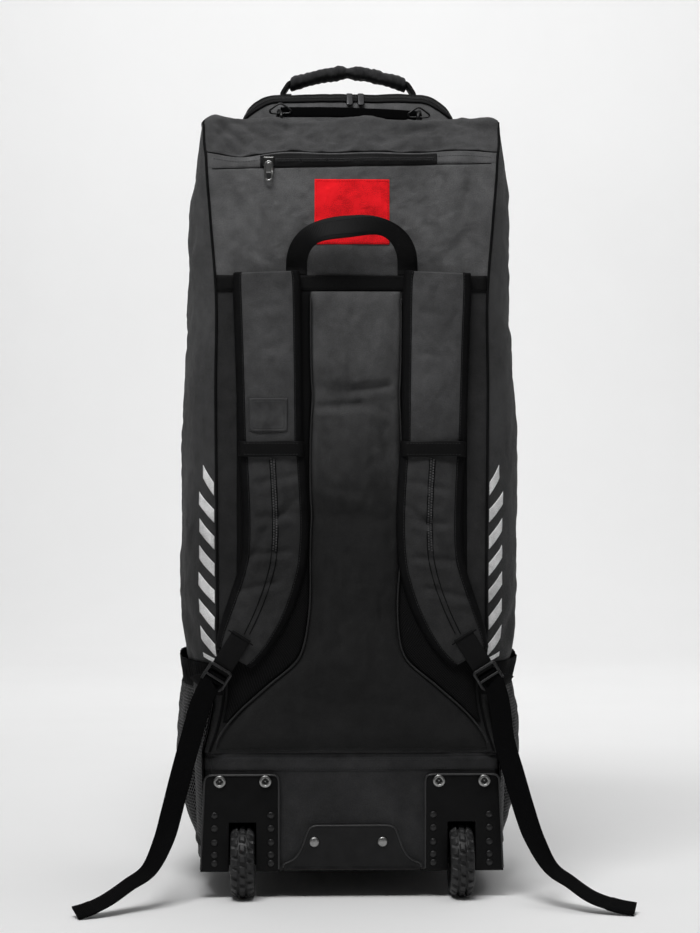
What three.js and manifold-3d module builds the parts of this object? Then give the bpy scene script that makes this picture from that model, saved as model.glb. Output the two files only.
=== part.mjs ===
// A tall wheeled cricket kit bag that stands upright, with backpack straps on its back.
// Millimetres, +Z up. The back panel faces -Y, so the front of the bag is towards +Y.
// Every wall is its own closed solid, and neighbours keep a small gap, as sewn pieces do at a seam.
import * as THREE from 'three';
import { mergeVertices } from 'three/addons/utils/BufferGeometryUtils.js';
import Module from 'manifold-3d';

const wasm = await Module();
wasm.setup();

// Driving sizes of the body.
const BODY_TOP = 930; // floor to the flat shoulder of the top
const BODY_DEPTH = 330; // back panel to front panel
const BACK_HALF = 163; // half the width of the back between its seams
const BOOT_TOP = 173; // floor to the seam between the boot and the panels
const BOOT_BASE = 33; // floor to the underside of the boot
const BOOT_TUCK = 0.035; // how much the boot narrows for each millimetre down
const BOOT_EDGE = 8; // rounded edge round its underside
const HOOD_SEAM = 886; // floor to the seam under the hood
const RIDGE_IN = 20; // how far the hood leans in before the shoulder starts
const FRONT_ROUND = 50; // radius between the shoulder and the front
const CLOTH = 2.6; // wall of coated cloth with its lining
const GAP = 0.4; // clearance between neighbours

// Driving sizes of the lid over the top and front.
const LID_BACK = 115; // depth at which the lid's back wall stands
const LID_HALF = 133; // half the lid's width at its foot
const LID_RISE = 45; // rise over the shoulder
const LID_FRONT_RISE = 14; // rise over the front
const LID_CORNER = 43; // width of the rounded edge along each side
const LID_END = 4; // free cloth between the lid's lower end and the boot
const ZIP_WIDTH = 11;
const ZIP_THICK = 1.4;
const ZIP_BACK = 11; // where the zip crosses the back of the arch, from the lid's start
const ZIP_UP = 0.05; // share of the way across the lid at which it runs along the foot
const ZIP_UP_FRONT = 0.06; // added to that on the lower front part

// Driving sizes of the back.
const BAND_LOW = 722; // webbing band across the back
const BAND_HIGH = 740;
const CENTRE_HALF = 53; // half the width of the padded centre panel
const CENTRE_THICK = 12;
const MESH_THICK = 8; // spacer mesh pads beside it
const MESH_HALF = 137; // their outer edge under the straps
const WEBBING = 25;
const WEBBING_THICK = 1.6;
const PIPING_R = 2.4;

// Driving sizes of the straps.
const STRAP_THICK = 12;
const STRAP_PATCH_HALF = 23;
const STRAP_PATCH_UP = 17; // from the join up to the rubber patch
const STRAP_PATCH_HEIGHT = 41;
const STRAP_PATCH_THICK = 1.8;
const CROSS_WEB = 18; // height of the cross web
const TAIL_THICK = 4; // folded and sewn tip of a tail

// Driving sizes of the running gear.
const WHEEL_R = 43;
const TYRE_WIDTH = 29;
const RIM_R = 27;
const WHEEL_X = 130;
const AXLE_Y = 8;
const AXLE_R = 4;
const BORE_SLACK = 1;
const WHEEL_SIDE_GAP = 1.7;
const WHEEL_TOP_GAP = 5;
const HOUSING_WALL = 3;
const PLATE_THICK = 5;
const PLATE_HALF = 44;
const PLATE_TOP = 149;
const PLATE_FLARE = 6;
const PLATE_CORNER = 9;
const SCREW_R = 8;
const SCREW_H = 3;
const SCREW_APART = 54;
const SCREW_DOWN = 9; // below the plate's top edge
const KICK_TOP = 87;
const KICK_TOP_HALF = 48;
const KICK_BASE_HALF = 84;
const KICK_THICK = 4;
const SKID_LENGTH = 260;
const SKID_DEPTH = 34;
const SKID_IN = 22; // from the front panel back to the skid
const SKID_CHAMFER = 6;
const SKID_FOOT = 8; // height of its chamfers

// Driving sizes of the net pockets.
const POCKET_TOP = 247;
const POCKET_BASE = 63;
const POCKET_SWELL = 22;
const POCKET_BACK = 64; // depth of its seam next to the back
const POCKET_FRONT = 268;
const NET = 1.6;
const ELASTIC_HEIGHT = 32;
const ELASTIC_STAND = 8;

// Driving sizes of the fittings.
const PATCH_WIDTH = 89;
const PATCH_LOW = 777;
const PATCH_HIGH = 854;
const PATCH_THICK = 1.4;
const SLOT_ZIP_WIDTH = 210;
const SLOT_ZIP_HEIGHT = 20;
const SLOT_ZIP_Z = 878; // top edge of the back pocket's zip tape
const PULL_WIDTH = 11;
const PULL_LENGTH = 25;
const GRIP_SPAN = 146;
const GRIP_THICK = 16;
const GRIP_WIDTH = 30;
const GRIP_Y = 150;
const GRIP_END_Z = 992;
const GRIP_ARCH = 16;
const LEG_SEWN = 18; // length of each leg that is sewn flat to the lid
const LEG_OUT = 9; // how far a leg bends out past the grip's end
const LEG_BEND = 4; // height of that bend
const LOOP_HALF = 66; // rear haul handle
const LOOP_RISE = 43;
const LOOP_STAND = 30;
const LOOP_FOOT = 12; // length of each foot that is sewn to the panel
const RING_X = 86;
const RING_R = 9;
const RING_WIRE = 1.8;
const LOCK_WIDTH = 28;
const LOCK_HEIGHT = 27;
const LOCK_THICK = 4;
const LOCK_TURN = 0.56;
const LOCK_SLOT = 21; // width of its two slots
const LOCK_BAR = 6.4; // bar between them
const LOCK_RIM = 4; // bar beyond each
const LOCK_X = 161;
const LOCK_Z = 265;

// Half widths of the body as shares of BACK_HALF, by height as a share of BODY_TOP.
const BODY_ROWS = [
  { height: 0.186, back: 1.05, side: 1.165, front: 1.04 },
  { height: 0.22, back: 0.985, side: 1.185, front: 1.03 },
  { height: 0.266, back: 0.94, side: 1.205, front: 1.02 },
  { height: 0.323, back: 0.988, side: 1.238, front: 1.01 },
  { height: 0.375, back: 0.99, side: 1.262, front: 1.005 },
  { height: 0.483, back: 0.994, side: 1.276, front: 1.0 },
  { height: 0.574, back: 1.0, side: 1.27, front: 1.0 },
  { height: 0.652, back: 1.003, side: 1.25, front: 1.0 },
  { height: 0.774, back: 1.0, side: 1.22, front: 1.01 },
  { height: 0.866, back: 1.04, side: 1.207, front: 1.04 },
  { height: 0.953, back: 1.073, side: 1.15, front: 1.07 },
  { height: 1.0, back: 1.067, side: 1.11, front: 1.075 },
];

// The padded centre panel: half width as a share of CENTRE_HALF while it is straight, then as a
// share of BACK_HALF where it flares, and the padding left where it creases.
const CENTRE_ROWS = [
  { height: 0.775, straight: 1, flare: 0, pad: 0.8 },
  { height: 0.72, straight: 1, flare: 0, pad: 1 },
  { height: 0.662, straight: 0.98, flare: 0, pad: 1 },
  { height: 0.642, straight: 0.96, flare: 0, pad: 0.68 },
  { height: 0.62, straight: 0.98, flare: 0, pad: 1.05 },
  { height: 0.51, straight: 1, flare: 0, pad: 1 },
  { height: 0.489, straight: 0.98, flare: 0, pad: 0.72 },
  { height: 0.468, straight: 1, flare: 0, pad: 1 },
  { height: 0.35, straight: 1, flare: 0, pad: 1 },
  { height: 0.326, straight: 1, flare: 0.02, pad: 1 },
  { height: 0.307, straight: 1, flare: 0.06, pad: 1 },
  { height: 0.27, straight: 1, flare: 0.3, pad: 1 },
  { height: 0.233, straight: 1, flare: 0.53, pad: 0.95 },
  { height: 0.205, straight: 1, flare: 0.645, pad: 0.85 },
  { height: 0.19, straight: 1, flare: 0.665, pad: 0.6 },
];

// A shoulder strap's middle line on the right side: x as a share of BACK_HALF, height as a share of
// BODY_TOP, and its half width as a share of BACK_HALF.
const STRAP_UPPER = [
  { x: 0.624, height: 0.799, half: 0.235 },
  { x: 0.62, height: 0.78, half: 0.247 },
  { x: 0.608, height: 0.7, half: 0.238 },
  { x: 0.6, height: 0.63, half: 0.234 },
  { x: 0.594, height: 0.576, half: 0.23 },
];
const STRAP_LOWER = [
  { x: 0.583, height: 0.572, half: 0.232 },
  { x: 0.56, height: 0.49, half: 0.236 },
  { x: 0.568, height: 0.44, half: 0.234 },
  { x: 0.605, height: 0.408, half: 0.232 },
  { x: 0.668, height: 0.376, half: 0.228 },
  { x: 0.73, height: 0.351, half: 0.21 },
  { x: 0.785, height: 0.334, half: 0.16 },
];

const STRAP_JOIN = ((STRAP_UPPER[STRAP_UPPER.length - 1].height + STRAP_LOWER[0].height) / 2) * BODY_TOP;

// The short web on a strap's end: how far it is before the buckle, as a share of LOCK_HEIGHT, and
// its place between the strap's face, 0, and the buckle's face, 1.
const END_WEB_ROWS = [
  { before: 2.15, place: 0 }, { before: 1.11, place: 0 }, { before: 0.59, place: 0.5 }, { before: 0.11, place: 1 },
];

// A strap tail on the right side, from the buckle down to the floor: x as a share of BACK_HALF,
// depth as a share of WEBBING, height as a share of BODY_TOP, the slant of its width in radians,
// and its width as a share of WEBBING.
const TAIL_ROWS = [
  { x: 1.02, out: 0.79, height: 0.281, slant: 0.5, wide: 1 },
  { x: 1.1, out: 0.88, height: 0.249, slant: 0.42, wide: 1 },
  { x: 1.17, out: 1.0, height: 0.204, slant: 0.3, wide: 1 },
  { x: 1.235, out: 1.24, height: 0.16, slant: 0.28, wide: 1 },
  { x: 1.3, out: 1.48, height: 0.116, slant: 0.28, wide: 1 },
  { x: 1.36, out: 1.8, height: 0.083, slant: 0.35, wide: 1 },
  { x: 1.46, out: 2.4, height: 0.05, slant: 0.5, wide: 0.75 },
  { x: 1.6, out: 3.0, height: 0.034, slant: 0.9, wide: 0.85 },
  { x: 1.74, out: 3.7, height: 0.0185, slant: 0.75, wide: 1 },
  { x: 1.85, out: 4.2, height: 0.0003, slant: 0, wide: 1.5 },
];

const CLOTH_GREY = 0x46474a;
const CLOTH_DARK = 0x2c2d2f;
const WEB_BLACK = 0x141414;

// The value of one column of a table at a height share, on straight lines between its rows.
function column(table, key, share) {
  const rising = table[0].height < table[table.length - 1].height ? table : [...table].reverse();
  const above = Math.max(1, rising.findIndex((row) => row.height >= share));
  const high = share > rising[rising.length - 1].height ? rising.length - 1 : above;
  const [a, b] = [rising[high - 1], rising[high]];
  const t = Math.min(1, Math.max(0, (share - a.height) / (b.height - a.height)));
  return a[key] + (b[key] - a[key]) * t;
}

const shareOf = (z) => z / BODY_TOP;
const backHalf = (z) => BACK_HALF * column(BODY_ROWS, 'back', shareOf(z));
const insideSeam = (z) => backHalf(z) - 2 * PIPING_R - 3 * GAP; // clear of the piping

// Half the body's width at a height and at a depth: its seams, and the swell of the side between.
function bodyHalf(z, y) {
  const share = shareOf(z);
  const u = Math.min(1, Math.max(0, y / BODY_DEPTH));
  const [back, side, front] = ['back', 'side', 'front'].map((key) => column(BODY_ROWS, key, share));
  const seam = back + (front - back) * u;
  const swell = 1 - Math.abs(2 * u - 1) ** 4;
  return BACK_HALF * (seam + (side - (back + front) / 2) * swell);
}

// The same, down over the boot, which narrows towards its base.
const wallHalf = (z, y) => bodyHalf(Math.max(z, BOOT_TOP), y) - BOOT_TUCK * Math.max(0, BOOT_TOP - z);

// The bag's outline seen from the side, by distance from the hood seam: up the hood, along the
// shoulder, round the front edge and down the front. Gives the point and the outward normal.
const HOOD_SLOPE = Math.hypot(RIDGE_IN, BODY_TOP - HOOD_SEAM);
const SHOULDER = BODY_DEPTH - FRONT_ROUND - RIDGE_IN;
const QUARTER = (FRONT_ROUND * Math.PI) / 2;
const DROP = BODY_TOP - FRONT_ROUND - BOOT_TOP - GAP;
const OUTLINE = HOOD_SLOPE + SHOULDER + QUARTER + DROP;
function outlineAt(s) {
  if (s < HOOD_SLOPE) {
    const t = s / HOOD_SLOPE;
    const lean = new THREE.Vector2(-(BODY_TOP - HOOD_SEAM), RIDGE_IN).normalize();
    return { y: RIDGE_IN * t, z: HOOD_SEAM + (BODY_TOP - HOOD_SEAM) * t, ny: lean.x, nz: lean.y };
  }
  const along = s - HOOD_SLOPE;
  if (along <= SHOULDER) return { y: RIDGE_IN + along, z: BODY_TOP, ny: 0, nz: 1 };
  const turn = Math.min((along - SHOULDER) / FRONT_ROUND, Math.PI / 2);
  const down = Math.max(0, along - SHOULDER - QUARTER);
  return {
    y: BODY_DEPTH - FRONT_ROUND + FRONT_ROUND * Math.sin(turn),
    z: BODY_TOP - FRONT_ROUND + FRONT_ROUND * Math.cos(turn) - down,
    ny: Math.sin(turn),
    nz: Math.cos(turn),
  };
}

const point = (x, y, z) => new THREE.Vector3(x, y, z);
const outlinePoint = (x, s, lift) => {
  const at = outlineAt(s);
  return point(x, at.y + at.ny * lift, at.z + at.nz * lift);
};
const steps = (from, to, count) => Array.from({ length: count + 1 }, (_, i) => from + ((to - from) * i) / count);

// Turns a closed mesh so that its faces point out.
function facingOut(geometry) {
  const index = Array.from(geometry.index.array);
  const at = geometry.attributes.position;
  const corner = (i) => point().fromBufferAttribute(at, index[i]);
  let volume = 0;
  for (let i = 0; i < index.length; i += 3) {
    volume += corner(i).dot(corner(i + 1).cross(corner(i + 2)));
  }
  if (volume < 0) for (let i = 0; i < index.length; i += 3) index.splice(i, 3, index[i], index[i + 2], index[i + 1]);
  geometry.setIndex(index);
  return geometry;
}

function fromPoints(points, faces) {
  const geometry = new THREE.BufferGeometry();
  geometry.setAttribute('position', new THREE.Float32BufferAttribute(points.flatMap((p) => [p.x, p.y, p.z]), 3));
  geometry.setIndex(faces);
  return facingOut(geometry);
}

// Drops normals and uvs and joins equal corners, so that a geometry is one closed body.
function joined(geometry) {
  const bare = geometry.clone();
  bare.deleteAttribute('normal');
  bare.deleteAttribute('uv');
  return facingOut(mergeVertices(bare, 1e-3));
}

// A closed wall between two grids of points, outer[row][column] and inner[row][column].
function wall(outer, inner) {
  const rows = outer.length;
  const columns = outer[0].length;
  const at = (side, r, c) => side * rows * columns + r * columns + c;
  const faces = [];
  const quad = (a, b, c, d) => faces.push(a, b, c, a, c, d);
  for (let r = 0; r < rows - 1; r += 1) {
    for (let c = 0; c < columns - 1; c += 1) {
      quad(at(0, r, c), at(0, r, c + 1), at(0, r + 1, c + 1), at(0, r + 1, c));
      quad(at(1, r, c), at(1, r + 1, c), at(1, r + 1, c + 1), at(1, r, c + 1));
    }
  }
  const rim = [];
  for (let c = 0; c < columns - 1; c += 1) rim.push([0, c]);
  for (let r = 0; r < rows - 1; r += 1) rim.push([r, columns - 1]);
  for (let c = columns - 1; c > 0; c -= 1) rim.push([rows - 1, c]);
  for (let r = rows - 1; r > 0; r -= 1) rim.push([r, 0]);
  rim.forEach((from, i) => {
    const to = rim[(i + 1) % rim.length];
    quad(at(0, ...to), at(0, ...from), at(1, ...from), at(1, ...to));
  });
  return fromPoints([...outer.flat(), ...inner.flat()], faces);
}

// A wall whose two grids come from one function of row, column and side (0 outer, 1 inner).
const wallOf = (rowValues, columnValues, place) =>
  wall(...[0, 1].map((side) => rowValues.map((r) => columnValues.map((c) => place(r, c, side)))));

// A closed body lofted through rings of equal counts, with both ends capped.
function loft(rings) {
  const count = rings[0].length;
  const faces = [];
  for (let r = 0; r < rings.length - 1; r += 1) {
    for (let i = 0; i < count; i += 1) {
      const j = (i + 1) % count;
      faces.push(r * count + i, r * count + j, (r + 1) * count + j);
      faces.push(r * count + i, (r + 1) * count + j, (r + 1) * count + i);
    }
  }
  const last = (rings.length - 1) * count;
  for (let i = 1; i < count - 1; i += 1) faces.push(0, i + 1, i, last, last + i, last + i + 1);
  return fromPoints(rings.flat(), faces);
}
const roundRow = (sides) => steps(0, 2 * Math.PI, sides).slice(0, -1).map((a) => [Math.cos(a), Math.sin(a)]);

// A round cord along a path that never runs along X.
const cordAlong = (path, radius, sides) => loft(path.map((middle, i) => {
  const run = path[Math.min(path.length - 1, i + 1)].clone().sub(path[Math.max(0, i - 1)]).normalize();
  const out = run.clone().cross(point(1, 0, 0)).normalize();
  const aside = out.clone().cross(run);
  return roundRow(sides).map(([a, b]) =>
    middle.clone().addScaledVector(aside, a * radius).addScaledVector(out, b * radius));
}));

// Flat webbing: rows of a middle point, a half-width vector and a half-thickness vector.
const ribbon = (rows) =>
  wall(...[1, -1].map((face) => rows.map(({ middle, across, through }) =>
    [-1, 1].map((edge) => middle.clone().addScaledVector(across, edge).addScaledVector(through, face)))));

const asSolid = (geometry) => {
  const mesh = joined(geometry);
  return new wasm.Manifold(new wasm.Mesh({
    numProp: 3,
    vertProperties: new Float32Array(mesh.attributes.position.array),
    triVerts: new Uint32Array(mesh.index.array),
  }));
};
const asGeometry = (manifold) => {
  const mesh = manifold.getMesh();
  const geometry = new THREE.BufferGeometry();
  geometry.setAttribute('position', new THREE.BufferAttribute(new Float32Array(mesh.vertProperties), 3));
  geometry.setIndex(Array.from(mesh.triVerts));
  return geometry;
};
const block = (x0, x1, y0, y1, z0, z1) =>
  new THREE.BoxGeometry(x1 - x0, y1 - y0, z1 - z0).translate((x0 + x1) / 2, (y0 + y1) / 2, (z0 + z1) / 2);
const rodX = (radius, x0, x1, y, z, sides) =>
  new THREE.CylinderGeometry(radius, radius, x1 - x0, sides).rotateZ(Math.PI / 2).translate((x0 + x1) / 2, y, z);

// A shape drawn in x and z, extruded from y = face back towards the bag.
const upright = (shape, thick, face, bevel = 0) =>
  joined(new THREE.ExtrudeGeometry(shape, {
    depth: thick - 2 * bevel, curveSegments: 3, bevelEnabled: bevel > 0,
    bevelThickness: bevel, bevelSize: bevel, bevelOffset: -bevel, bevelSegments: 1,
  }).rotateX(Math.PI / 2).translate(0, face + thick - bevel, 0));

function roundedBox(half, low, high, corner) {
  const shape = new THREE.Shape();
  shape.moveTo(-half + corner, low);
  shape.absarc(half - corner, low + corner, corner, -Math.PI / 2, 0);
  shape.absarc(half - corner, high - corner, corner, 0, Math.PI / 2);
  shape.absarc(-half + corner, high - corner, corner, Math.PI / 2, Math.PI);
  shape.absarc(-half + corner, low + corner, corner, Math.PI, Math.PI * 1.5);
  return shape;
}

const bag = new THREE.Group();
function add(name, geometry, colour, roughness = 0.85, metalness = 0) {
  const mesh = new THREE.Mesh(geometry, new THREE.MeshStandardMaterial({ color: colour, roughness, metalness }));
  mesh.name = name;
  bag.add(mesh);
  return mesh;
}
// Adds a piece built on the right and its mirror image on the left.
function addPair(name, geometry, ...finish) {
  add(`${name}_right`, geometry, ...finish);
  add(`${name}_left`, facingOut(joined(geometry).scale(-1, 1, 1)), ...finish);
}

// Boot: an open tray with the body's outline, its walls cut where the wheel housings pass through.
const WELL_HALF = TYRE_WIDTH / 2 + WHEEL_SIDE_GAP;
const HOUSING_HALF = WELL_HALF + HOUSING_WALL;
const WELL_TOP = 2 * WHEEL_R + WHEEL_TOP_GAP;
const WELL_DEPTH = AXLE_Y + WHEEL_R + WHEEL_TOP_GAP;
function bootRing(z, inset) {
  const half = (y) => wallHalf(z, y) - inset;
  const across = steps(-1, 1, 6);
  const up = steps(0, 1, 6).slice(1, -1);
  const depth = (u) => inset + u * (BODY_DEPTH - 2 * inset);
  return [
    ...across.map((c) => point(c * half(0), depth(0), z)),
    ...up.map((u) => point(half(depth(u)), depth(u), z)),
    ...[...across].reverse().map((c) => point(c * half(BODY_DEPTH), depth(1), z)),
    ...[...up].reverse().map((u) => point(-half(depth(u)), depth(u), z)),
  ];
}
function bootGeometry() {
  const top = BOOT_TOP - GAP;
  const rings = [
    bootRing(BOOT_BASE, BOOT_EDGE), bootRing(BOOT_BASE + BOOT_EDGE, 0), bootRing((BOOT_BASE + top) / 2, 0),
    bootRing(top, 0), bootRing(top, CLOTH), bootRing(BOOT_BASE + CLOTH + BOOT_EDGE, CLOTH),
    bootRing(BOOT_BASE + CLOTH, BOOT_EDGE + CLOTH),
  ];
  const tray = asSolid(loft(rings));
  const cut = (side) => asSolid(block(
    side * WHEEL_X - HOUSING_HALF - GAP, side * WHEEL_X + HOUSING_HALF + GAP,
    -1, WELL_DEPTH + HOUSING_WALL + GAP, BOOT_BASE - 1, WELL_TOP + HOUSING_WALL + GAP,
  ));
  return asGeometry(tray.subtract(cut(1)).subtract(cut(-1)));
}
add('boot', bootGeometry(), CLOTH_DARK);

// Back: the main panel under the pads, and the upper panel above the webbing band.
const panelHalf = (z) => backHalf(z) - CLOTH - GAP;
const BACK_COLUMNS = [-1, -0.6, -0.2, 0.2, 0.6, 1];
const BAND_MIDDLE = (BAND_LOW + BAND_HIGH) / 2;
const bodyHeights = BODY_ROWS.map((row) => row.height * BODY_TOP);
const heightsBetween = (low, high) => [low, ...bodyHeights.filter((z) => z > low + 8 && z < high - 8), high];
add('back_panel', wallOf(heightsBetween(BOOT_TOP, BAND_MIDDLE - GAP / 2), BACK_COLUMNS,
  (z, c, side) => point(c * panelHalf(z), side * CLOTH, z)), CLOTH_GREY);
const UPPER_TOP = HOOD_SEAM - (CLOTH * RIDGE_IN) / HOOD_SLOPE - GAP;
add('back_upper_panel', wallOf(heightsBetween(BAND_MIDDLE + GAP / 2, UPPER_TOP), BACK_COLUMNS,
  (z, c, side) => point(c * panelHalf(z), side * CLOTH, z)), CLOTH_GREY);
add('back_band', wallOf([BAND_LOW, BAND_HIGH], [-1, 0, 1],
  (z, c, side) => point(c * insideSeam(z), -GAP - (1 - side) * WEBBING_THICK, z)), WEB_BLACK);

// Hood: from its seam up the slope and back along the shoulder to the lid.
const LID_START = HOOD_SLOPE + LID_BACK - RIDGE_IN;
const HOOD_ROWS = [0, HOOD_SLOPE * 0.5, HOOD_SLOPE * 0.9, HOOD_SLOPE, HOOD_SLOPE + 50, LID_START - GAP];
add('hood', wallOf(HOOD_ROWS, steps(-1, 1, 8), (s, c, side) => {
  const at = outlineAt(s);
  return outlinePoint(c * bodyHalf(at.z, at.y), s, -side * CLOTH);
}), CLOTH_GREY);

// Sides: each fills the outline inside the hood and front walls, and swells between its seams.
const SIDE_INSET = CLOTH + 2 * GAP;
function sideTop(y) {
  const slope = (BODY_TOP - HOOD_SEAM) / RIDGE_IN;
  const lean = HOOD_SEAM + slope * y - SIDE_INSET * Math.hypot(1, slope);
  const past = Math.max(0, y - (BODY_DEPTH - FRONT_ROUND));
  const r = FRONT_ROUND - SIDE_INSET;
  const round = BODY_TOP - FRONT_ROUND + Math.sqrt(Math.max(0, r * r - past * past));
  return Math.min(lean, BODY_TOP - SIDE_INSET, round);
}
const SIDE_DEPTH = BODY_DEPTH - SIDE_INSET;
const roundStart = (BODY_DEPTH - FRONT_ROUND) / SIDE_DEPTH;
const ridgeShare = (RIDGE_IN + SIDE_INSET) / SIDE_DEPTH;
const SIDE_SHOULDER = 0.866 * BODY_TOP; // below this the side's rows are level
const SIDE_COLUMNS = [
  0, ridgeShare, 0.16, 0.28, 0.42, 0.56, 0.7, roundStart,
  roundStart + (1 - roundStart) * 0.4, roundStart + (1 - roundStart) * 0.75, roundStart + (1 - roundStart) * 0.93, 1,
];
const SIDE_ROWS = heightsBetween(BOOT_TOP, SIDE_SHOULDER);
addPair('side_panel', wallOf([...SIDE_ROWS.map((z) => [z, 0]), [SIDE_SHOULDER, 0.5], [SIDE_SHOULDER, 1]],
  SIDE_COLUMNS, ([low, share], u, side) => {
    const y = u * SIDE_DEPTH;
    const z = low + share * (sideTop(y) - low);
    return point(bodyHalf(z, y) - side * CLOTH, y, z);
  }), CLOTH_GREY);

// Lid: an arched cover from the shoulder over the front edge and down the front. Its ends close
// along a rounded edge, and t runs across it from foot to foot.
const LID_LENGTH = OUTLINE - LID_START - LID_END;
const LID_ROUND = 26; // length over which each end of the lid rises
const endRise = (d) => {
  const t = Math.min(1, Math.max(0, Math.min(d, LID_LENGTH - d) / LID_ROUND));
  return Math.sqrt(1 - (1 - t) ** 3);
};
const overFront = (d) => Math.min(1, Math.max(0, (LID_START + d - HOOD_SLOPE - SHOULDER) / QUARTER));
function lidSize(d) {
  const front = overFront(d);
  const full = LID_RISE + (LID_FRONT_RISE - LID_RISE) * front;
  const end = endRise(d);
  return { half: LID_HALF * (0.76 + 0.24 * end), rise: Math.max(2.2 * CLOTH, full * end) };
}
function lidPoint(d, t, inset = 0) {
  const { half, rise } = lidSize(d);
  const corner = LID_CORNER - inset;
  const flat = half - LID_CORNER;
  const turn = Math.min(t, 1 - t) * 4;
  const side = t < 0.5 ? -1 : 1;
  const foot = -CLOTH;
  const height = rise - inset - foot;
  if (turn < 1) {
    const angle = (turn * Math.PI) / 2;
    const x = side * (flat + corner * Math.cos(angle));
    return outlinePoint(x, LID_START + d, foot + height * Math.sin(angle));
  }
  const c = (t - 0.5) * 4;
  return outlinePoint(c * flat, LID_START + d, foot + height);
}
const LID_ROWS = [
  0, 1, 4, 10, 18, LID_ROUND, 60, HOOD_SLOPE + SHOULDER - LID_START,
  ...steps(0, 1, 4).slice(1).map((q) => HOOD_SLOPE + SHOULDER - LID_START + q * QUARTER),
  ...steps(0, 1, 4).slice(1).map((q) =>
    HOOD_SLOPE + SHOULDER + QUARTER - LID_START + q * (DROP - LID_END - LID_ROUND)),
  LID_LENGTH - 12, LID_LENGTH - 4, LID_LENGTH,
];
const LID_EDGE = [0, 0.045, 0.085, 0.125, 0.165, 0.205, 0.25];
const LID_COLUMNS = [...LID_EDGE, 0.5, ...LID_EDGE.map((t) => 1 - t).reverse()];
add('front_lid', wallOf(LID_ROWS, LID_COLUMNS, (d, t, side) => lidPoint(d, t, side * CLOTH)), CLOTH_GREY);

// Walls beside the lid, over the shoulder and down the front.
addPair('front_wall', wallOf([...LID_ROWS, LID_LENGTH + LID_END], [0, 0.33, 0.67, 1], (d, c, side) => {
  const at = outlineAt(LID_START + d);
  const inner = lidSize(Math.min(d, LID_LENGTH)).half + GAP;
  const outer = bodyHalf(at.z, at.y);
  return outlinePoint(inner + (outer - inner) * c, LID_START + d, -side * CLOTH);
}), CLOTH_GREY);

// Zip tape of the lid: up one side, across the back of the arch and down the other side. It lies
// on the lid, so each of its points is the lid's own point at a place (d, t), lifted a little.
const ZIP_LIFT = 1.5;
const zipPlace = (d, t, lift) => {
  const along = lidPoint(d + 1, t).sub(lidPoint(d - 1, t));
  const over = lidPoint(d, t + 0.004).sub(lidPoint(d, t - 0.004));
  return lidPoint(d, t).addScaledVector(over.cross(along).normalize(), lift);
};
function lidZipGeometry() {
  const foot = (d) => ZIP_UP + ZIP_UP_FRONT * overFront(d);
  const sideRows = LID_ROWS.filter((d) => d > 2 * LID_ROUND && d < LID_LENGTH - 8);
  const oneSide = [
    ...[...sideRows].reverse().map((d) => [d, foot(d)]), [LID_ROUND * 1.54, foot(0)], [LID_ROUND, 1.1 * foot(0)],
    [ZIP_BACK * 1.55, 1.5 * foot(0)],
    ...LID_EDGE.slice(3).map((t) => [ZIP_BACK, t]),
  ];
  const path = [...oneSide, [ZIP_BACK, 0.5], ...oneSide.map(([d, t]) => [d, 1 - t]).reverse()];
  const size = (d, t) => [
    lidPoint(d + 1, t).distanceTo(lidPoint(d - 1, t)) / 2,
    lidPoint(d, t + 0.004).distanceTo(lidPoint(d, t - 0.004)) / 0.008,
  ];
  return wallOf(path.map((_, i) => i), [-1, 0, 1], (i, c, side) => {
    const [d, t] = path[i];
    const [perD, perT] = size(d, t);
    const [before, after] = [path[Math.max(0, i - 1)], path[Math.min(path.length - 1, i + 1)]];
    const across = new THREE.Vector2(-(after[1] - before[1]) * perT, (after[0] - before[0]) * perD).normalize();
    const reach = (c * ZIP_WIDTH) / 2;
    return zipPlace(d + (across.x * reach) / perD, t + (across.y * reach) / perT, ZIP_LIFT + (1 - side) * ZIP_THICK);
  });
}
add('lid_zip', lidZipGeometry(), WEB_BLACK);

// Two zip pulls that hang side by side over the middle of the lid's zip.
const PULL_APART = 7;
const PULL_THICK = 2.4;
function lidPull(side) {
  const [high, low] = [lidPoint(ZIP_BACK + 3, 0.5), lidPoint(ZIP_BACK - 7, 0.5)];
  const lean = Math.atan2(high.y - low.y, high.z - low.z);
  const bow = 2; // how far the zip bulges past the line between them
  const lift = ZIP_LIFT + ZIP_THICK + GAP + bow + PULL_THICK / 2;
  const middle = high.clone().add(low).multiplyScalar(0.5).add(point(0, -Math.cos(lean), Math.sin(lean)).multiplyScalar(lift));
  const shape = roundedBox(PULL_WIDTH * 0.38, -PULL_LENGTH * 0.4, PULL_LENGTH * 0.4, 2.5);
  return upright(shape, PULL_THICK, -PULL_THICK / 2).rotateX(-lean).translate(side * PULL_APART, middle.y, middle.z);
}
add('lid_zip_pull_right', lidPull(1), 0x9a9a98, 0.35, 0.9);
add('lid_zip_pull_left', lidPull(-1), 0x9a9a98, 0.35, 0.9);

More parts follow.
